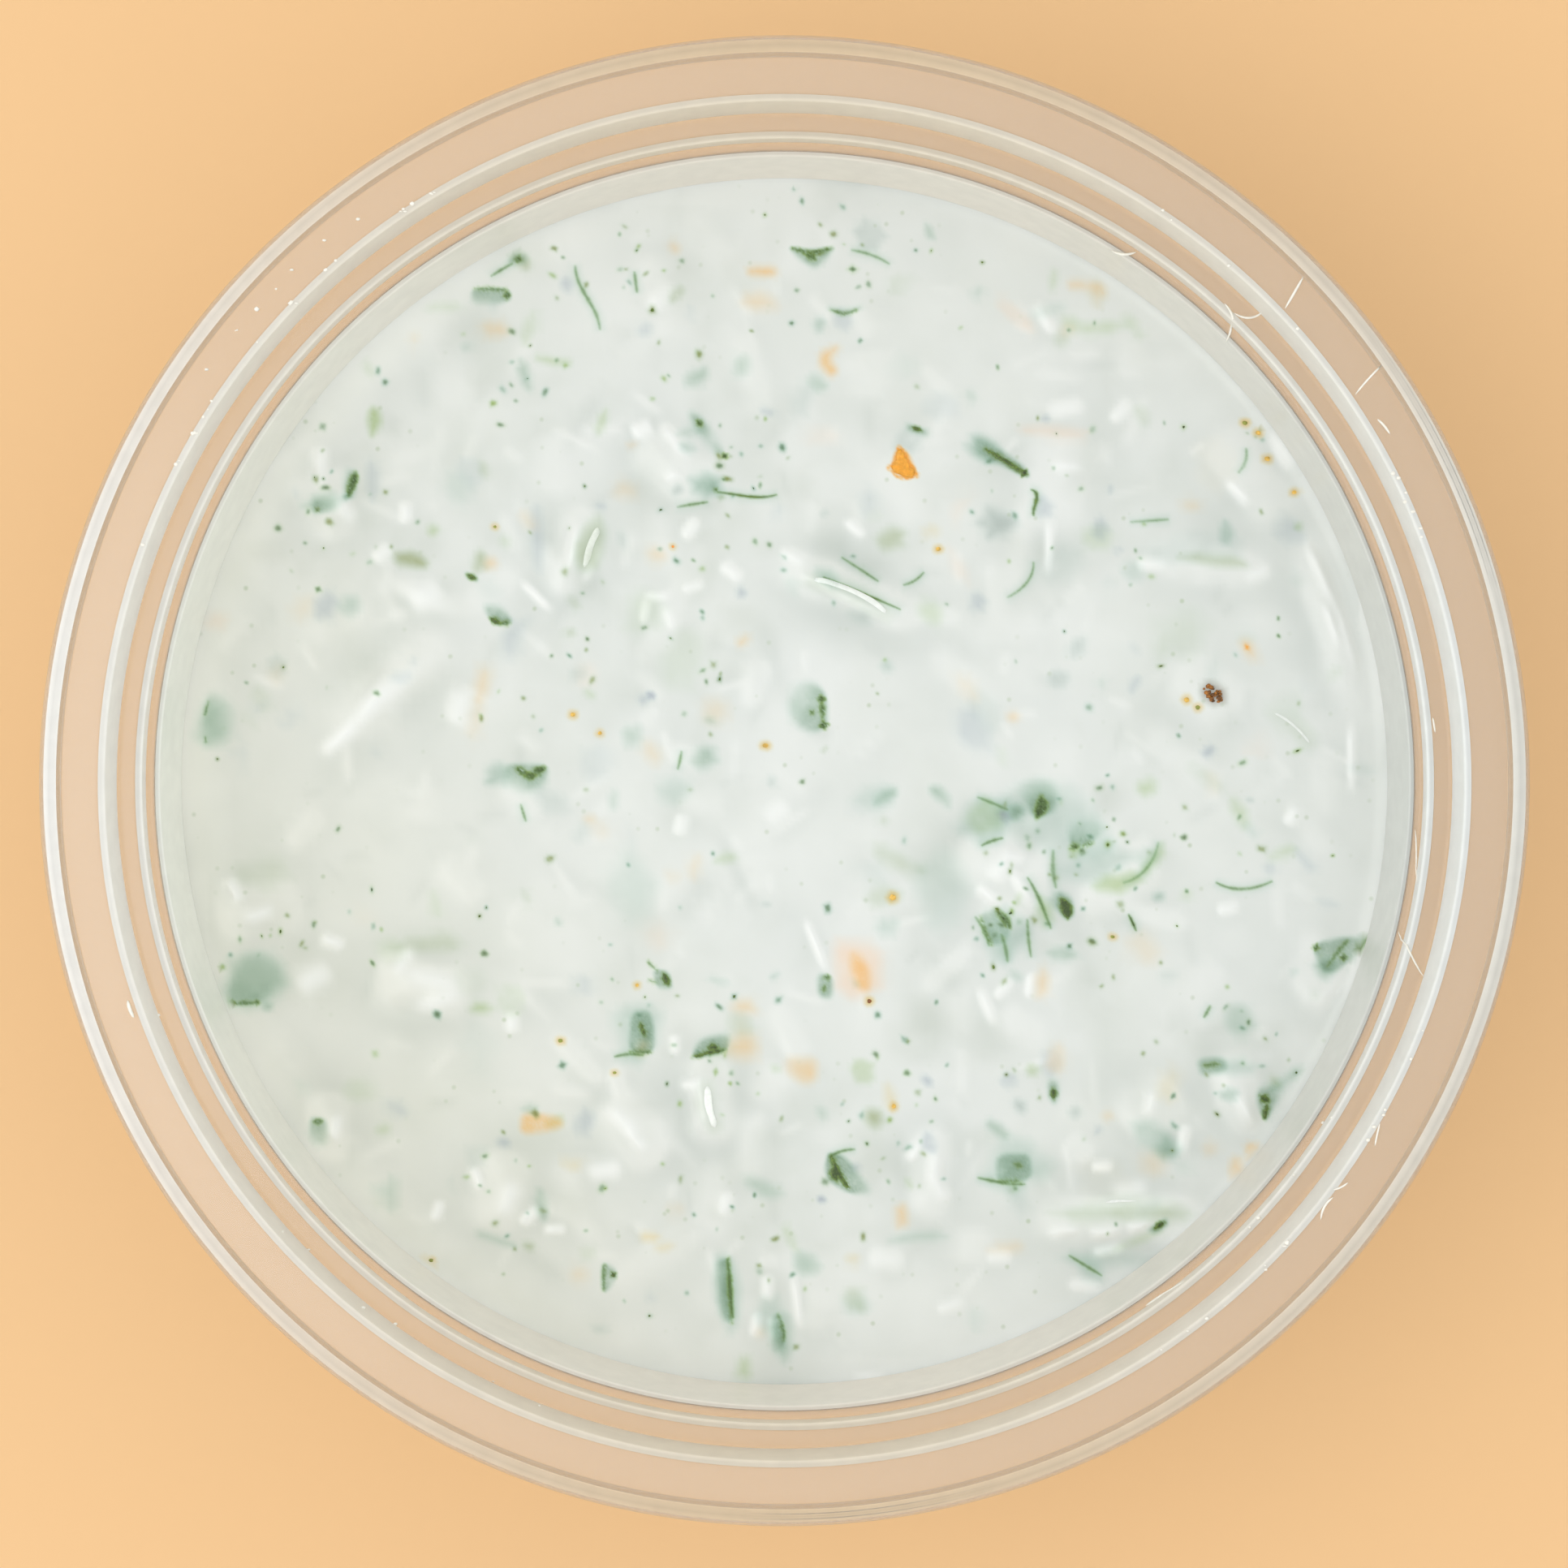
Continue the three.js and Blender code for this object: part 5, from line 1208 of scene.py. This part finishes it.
def make_rim_film_and_highlights():
    """A milky film on the lip and the lower step and on the edges above them, partly painted sheen, and a
    painted highlight on the crest of the bead.
    """
    angles = circle_angles(TUB_SEGMENTS)
    bands = Parts()
    for top, bottom in (
        ((LIP_TOP_RADIUS, FLANGE_Z), (UPPER_LEDGE_RADIUS, UPPER_LEDGE_Z)),
        ((LOWER_STEP_RADIUS, UPPER_LEDGE_Z), (LOWER_LEDGE_RADIUS, LOWER_LEDGE_Z)),
    ):
        profile = filleted([(top[0] + STEP_FILM_EDGE, top[1]), top, bottom])
        profile[-1] += (profile[-2] - profile[-1]).normalized() * STEP_FILM_FOOT
        grid = band(profile, angles, FILM_THICKNESS)
        bands.add(*closed_ring(grid), film_colours_with_painted_light(angles, grid, *RIM_FILM_AND_SHEEN_COLOURS))
    # Painted highlight: a white band on the crest of the bead, whitest on the lamp's side.
    turns = np.radians(np.linspace(*BEAD_HIGHLIGHT_ARC, 8))
    centre = np.array([RIM_RADIUS - BEAD_RADIUS, RIM_HEIGHT - BEAD_RADIUS])
    crest = centre + (BEAD_RADIUS - 0.02) * np.column_stack([np.cos(turns), np.sin(turns)])
    grid = band(crest, angles, FILM_THICKNESS)
    bands.add(*closed_ring(grid), film_colours_with_painted_light(angles, grid, *BEAD_HIGHLIGHT_COLOURS))
    return bands.build("rim_film_and_highlights", thin_film("rim_film_and_highlights", RIM_FILM_AND_HIGHLIGHT_ALPHA), "sauce", 50)


def make_wall_film_and_shade():
    """Sauce left on the wall above its level, up over the rounded edge of the ledge; its colour is partly
    painted light, lighter at the left and greyer in painted shade at the right.
    """
    angles = circle_angles(TUB_SEGMENTS)
    rise = LOWER_LEDGE_Z - SAUCE_LEVEL
    shares, foot = np.array(WALL_FILM_SECTION).T
    edge = (WALL_TOP_RADIUS + WALL_FILM_EDGE, LOWER_LEDGE_Z)
    shoulder = filleted([edge, (WALL_TOP_RADIUS, LOWER_LEDGE_Z), (wall_radius(SAUCE_LEVEL), SAUCE_LEVEL)])
    profile = [*shoulder[:-1], *((wall_radius(z), z) for z in SAUCE_LEVEL + rise * shares)]
    thicknesses = [FILM_THICKNESS] * (len(profile) - len(shares)) + foot.tolist()
    parts = Parts()
    grid = band(profile, angles, thicknesses)
    parts.add(*closed_ring(grid), film_colours_with_painted_light(angles, grid, *WALL_FILM_AND_SHADE_COLOURS))
    return parts.build("wall_film_and_shade", thin_film("wall_film_and_shade", 1.0), "sauce", 50)


def rim_level(radius):
    """Height of the inside of the rim at a radius."""
    return np.interp(
        radius,
        [LOWER_LEDGE_RADIUS, LOWER_STEP_RADIUS, UPPER_LEDGE_RADIUS, LIP_TOP_RADIUS],
        [LOWER_LEDGE_Z, UPPER_LEDGE_Z, UPPER_LEDGE_Z, FLANGE_Z],
    )


def make_residue():
    """Dried strings and crumbs of sauce on the flange, lip and ledges."""
    parts = Parts()
    for width, points in RESIDUE:
        path = curve_through(np.array(points) * RIM_SCALE, STRING_POINTS)
        widths = width * (1 - 0.8 * np.linspace(-1, 1, STRING_POINTS) ** 4)
        lift = lambda p: rim_level(np.hypot(p[:, 0], p[:, 1])) + 0.3 * width
        parts.add(*strip(path, widths, width, lift), linear(RESIDUE_COLOUR))
    for radius, first, last, count in CRUMBS:
        for angle in np.radians(rng.uniform(first, last, count)):
            size = rng.uniform(0.12, 0.4)
            outline = cut_outline(size, size * rng.uniform(0.5, 1), 2, 0.2, 8)
            spot = (radius + rng.uniform(-0.2, 0.2)) * np.array([math.cos(angle), math.sin(angle)])
            vertices, faces = slab(outline, (0.6, 1.0), size * 0.6, lambda points: 0 * points[:, 0])
            vertices += (*spot, float(rim_level(np.hypot(*spot))) + 0.1 * size)
            parts.add(vertices, faces, linear(RESIDUE_COLOUR))
    return parts.build("dried_bits", wet_piece("dried_sauce", 0.4, 0.08), "sauce")


# ---- Materials ----
def node_tools(tree):
    """A function that adds a node to a tree, and one that sets or links a node's inputs."""
    def wire(node, inputs):
        for socket, value in dict(inputs).items():
            if isinstance(value, bpy.types.NodeSocket):
                tree.links.new(value, node.inputs[socket])
            else:
                node.inputs[socket].default_value = value
        return node

    def add(kind, inputs=(), **settings):
        node = tree.nodes.new(kind)
        for key, value in settings.items():
            setattr(node, key, value)
        return wire(node, inputs)

    return add, wire


def node_material(name):
    """A new node material, a function that adds a node, and one that sets or links the shader's inputs."""
    material = bpy.data.materials.new(name)
    material.use_nodes = True
    add, wire = node_tools(material.node_tree)
    return material, add, lambda inputs: wire(material.node_tree.nodes["Principled BSDF"], inputs)


def millimetres(add):
    """Texture coordinates in millimetres, and noise at a given grain size."""
    place = add("ShaderNodeTexCoord").outputs["Object"]
    scaled = add("ShaderNodeVectorMath", {0: place, "Scale": 1 / MM}, operation="SCALE").outputs[0]

    def noise(grain, detail=3.0, vector=scaled):
        node = add("ShaderNodeTexNoise", {"Vector": vector, "Scale": 1 / grain, "Detail": detail})
        return node.outputs["Fac"]

    return scaled, noise


def span(add, value, low, high, to_low, to_high):
    node = add("ShaderNodeMapRange", {"Value": value, 1: low, 2: high, 3: to_low, 4: to_high})
    return node.outputs["Result"]


def bump(add, strength, distance, height):
    settings = {"Strength": strength, "Distance": distance * MM, "Height": height}
    return add("ShaderNodeBump", settings).outputs[0]


def shaded_tint(add, noise, low, high):
    """The mesh's own colours, mottled between two brightnesses."""
    tint = add("ShaderNodeAttribute", attribute_name="tint").outputs["Color"]
    shade = span(add, noise, 0.3, 0.7, low, high)
    return add("ShaderNodeVectorMath", {0: tint, "Scale": shade}, operation="SCALE").outputs[0]


def clear_plastic():
    """Thin formed plastic: clear, glossy, with faint streaks that run round it and light scuffs."""
    material, add, shade = node_material("clear_formed_plastic")
    scaled, noise = millimetres(add)
    axes = add("ShaderNodeSeparateXYZ", {0: scaled})
    angle = add("ShaderNodeMath", {0: axes.outputs["Y"], 1: axes.outputs["X"]}, operation="ARCTAN2")
    radius = add("ShaderNodeVectorMath", {0: scaled}, operation="LENGTH").outputs["Value"]
    cylindrical = {"X": angle.outputs[0], "Y": radius, "Z": axes.outputs["Z"]}
    place = add("ShaderNodeCombineXYZ", cylindrical).outputs[0]
    stretched = add("ShaderNodeVectorMath", {0: place, 1: STREAK_STRETCH}, operation="MULTIPLY")
    streaks = noise(1.0, 4.0, stretched.outputs[0])
    facing = add("ShaderNodeSeparateXYZ", {0: add("ShaderNodeNewGeometry").outputs["Normal"]}).outputs["Z"]
    flat = add("ShaderNodeMath", {0: facing}, operation="ABSOLUTE").outputs[0]
    haze = span(add, flat, 0.35, 0.85, 0.2, 0.13)
    scuffed = span(add, noise(0.5, 5.0), 0.35, 0.75, 0.0, 0.03)
    tints = {0: streaks, 6: PLASTIC_TINTS[0], 7: PLASTIC_TINTS[1]}
    shade({
        "Transmission Weight": PLASTIC_CLARITY,
        "IOR": PLASTIC_IOR,
        "Roughness": add("ShaderNodeMath", {0: haze, 1: scuffed}, operation="ADD").outputs[0],
        "Base Color": add("ShaderNodeMix", tints, data_type="RGBA").outputs[2],
        "Normal": bump(add, 0.004, 0.05, streaks),
    })
    return material


def thin_film(name, alpha):
    """A thin milky film in its own vertex colours, which on the tub hold painted highlights and painted
    shade.
    """
    material, add, shade = node_material(name)
    _, noise = millimetres(add)
    shade({"Base Color": shaded_tint(add, noise(1.6), 0.97, 1.03), "Roughness": 0.35, "Alpha": alpha})
    return material


def wet_sauce():
    """Thick white sauce: glossy, softly lit inside, tinted by what is sunk in it and by painted shade and
    light in its vertex colours, with fine soft specks.
    """
    material, add, shade = node_material("white_herb_sauce")
    scaled, noise = millimetres(add)
    tint = add("ShaderNodeAttribute", attribute_name="tint").outputs["Color"]
    cells = add("ShaderNodeTexVoronoi", {"Vector": scaled, "Scale": 0.6, "Randomness": 1.0})
    dot = span(add, cells.outputs["Distance"], 0.05, 0.16, 1.0, 0.0)
    patches = span(add, noise(9.0, 2.0), 0.5, 0.68, 0.0, 0.5)
    amount = add("ShaderNodeMath", {0: dot, 1: patches}, operation="MULTIPLY").outputs[0]
    specks = {0: amount, 6: tint, 7: (*linear(SPECK_GREEN), 1)}
    green = add("ShaderNodeMix", specks, data_type="RGBA").outputs[2]
    drifts = {0: span(add, noise(16.0, 2.0), 0.3, 0.7, 0.0, 0.5), 6: green, 7: DRIFT_COLOUR}
    shader = shade({
        "Base Color": add("ShaderNodeMix", drifts, data_type="RGBA", blend_type="MULTIPLY").outputs[2],
        "Roughness": span(add, noise(3.0), 0.3, 0.7, 0.14, 0.26),
        "Subsurface Weight": SAUCE_GLOW,
        "Subsurface Radius": SAUCE_GLOW_RADII,
        "Subsurface Scale": SAUCE_GLOW_REACH * MM,
        "Normal": bump(add, 0.12, 0.04, noise(1.2, 2.0)),
    })
    shader.subsurface_method = "BURLEY"
    return material


def wet_piece(name, roughness, variation):
    """A wet chopped piece in its own vertex colours, mottled and slightly rough."""
    material, add, shade = node_material(name)
    _, noise = millimetres(add)
    shade({
        "Base Color": shaded_tint(add, noise(0.35, 4.0), 1 - variation, 1 + variation),
        "Roughness": span(add, noise(0.6), 0.3, 0.7, roughness, roughness + 0.15),
        "Normal": bump(add, 0.5, 0.06, noise(0.25, 3.0)),
    })
    return material


def pale_floor():
    material, add, shade = node_material("pale_floor")
    _, noise = millimetres(add)
    low, high = linear(FLOOR_COLOUR) * 0.97, linear(FLOOR_COLOUR)
    mixed = add("ShaderNodeMix", {0: noise(60.0), 6: (*low, 1), 7: (*high, 1)}, data_type="RGBA")
    shade({"Base Color": mixed.outputs[2], "Roughness": 0.6})
    return material


# ---- Setting ----
FLOOR_HALF = 900
EYE_HEIGHT_OVER_RIM = 400
AIM_DOWN = -0.22
VIEW_WIDTH = 122.8
SENSOR = 36
FLOOR_DROP = 0.02
CLIP_METRES = (0.01, 10)
SKY_COLOUR = (0.97, 0.985, 1, 1)
SKY_STRENGTH = (1.14, 1.06)
LAMP_PLACE = (-0.55, -0.1, 0.87)
LAMP_SIZE = (0.7, 0.9)
LAMP_ENERGY = 2.6
LAMP_COLOUR = (1, 0.985, 0.96)
BOUNCES = 14


def make_floor():
    corners = [(-FLOOR_HALF, -FLOOR_HALF), (FLOOR_HALF, -FLOOR_HALF)]
    corners += [(FLOOR_HALF, FLOOR_HALF), (-FLOOR_HALF, FLOOR_HALF)]
    mesh = bpy.data.meshes.new("floor")
    mesh.from_pydata([(x * MM, y * MM, -FLOOR_DROP * MM) for x, y in corners], [], [(0, 1, 2, 3)])
    mesh.materials.append(pale_floor())
    floor = new_object("floor", mesh)


def make_light():
    world = bpy.data.worlds.new("soft_studio")
    bpy.context.scene.world = world
    world.use_nodes = True
    add, wire = node_tools(world.node_tree)
    place = add("ShaderNodeTexCoord").outputs["Generated"]
    axes = add("ShaderNodeSeparateXYZ", {0: place})
    strength = span(add, axes.outputs["X"], 1, -1, *SKY_STRENGTH)
    wire(world.node_tree.nodes["Background"], {"Color": SKY_COLOUR, "Strength": strength})
    lamp = bpy.data.lights.new("window", "AREA")
    lamp.shape, lamp.energy, lamp.color = "RECTANGLE", LAMP_ENERGY, LAMP_COLOUR
    lamp.size, lamp.size_y = LAMP_SIZE
    window = new_object("window", lamp)
    window.location = LAMP_PLACE
    window.rotation_euler = (-window.location).to_track_quat("-Z", "Y").to_euler()


def make_camera():
    """Looks straight down on the middle of the rim."""
    eye = Vector((0, AIM_DOWN, RIM_HEIGHT + EYE_HEIGHT_OVER_RIM)) * MM
    aim = Vector((0, AIM_DOWN, RIM_HEIGHT)) * MM
    ahead = (aim - eye).normalized()
    right = ahead.cross(Vector((0, 1, 0))).normalized()
    up = right.cross(ahead)
    data = bpy.data.cameras.new("camera")
    data.sensor_width = SENSOR
    data.lens = SENSOR * (aim - eye).length / MM / VIEW_WIDTH
    data.clip_start, data.clip_end = CLIP_METRES
    camera = new_object("camera", data)
    camera.matrix_world = Matrix.Translation(eye) @ Matrix((right, up, -ahead)).transposed().to_4x4()
    bpy.context.scene.camera = camera


make_camera()
make_light()
make_floor()
make_tub()
make_contents()
make_rim_film_and_highlights()
make_wall_film_and_shade()
make_residue()
bpy.context.scene.cycles.max_bounces = BOUNCES
bpy.context.scene.cycles.transmission_bounces = BOUNCES
bpy.context.scene.view_settings.view_transform = "Standard"
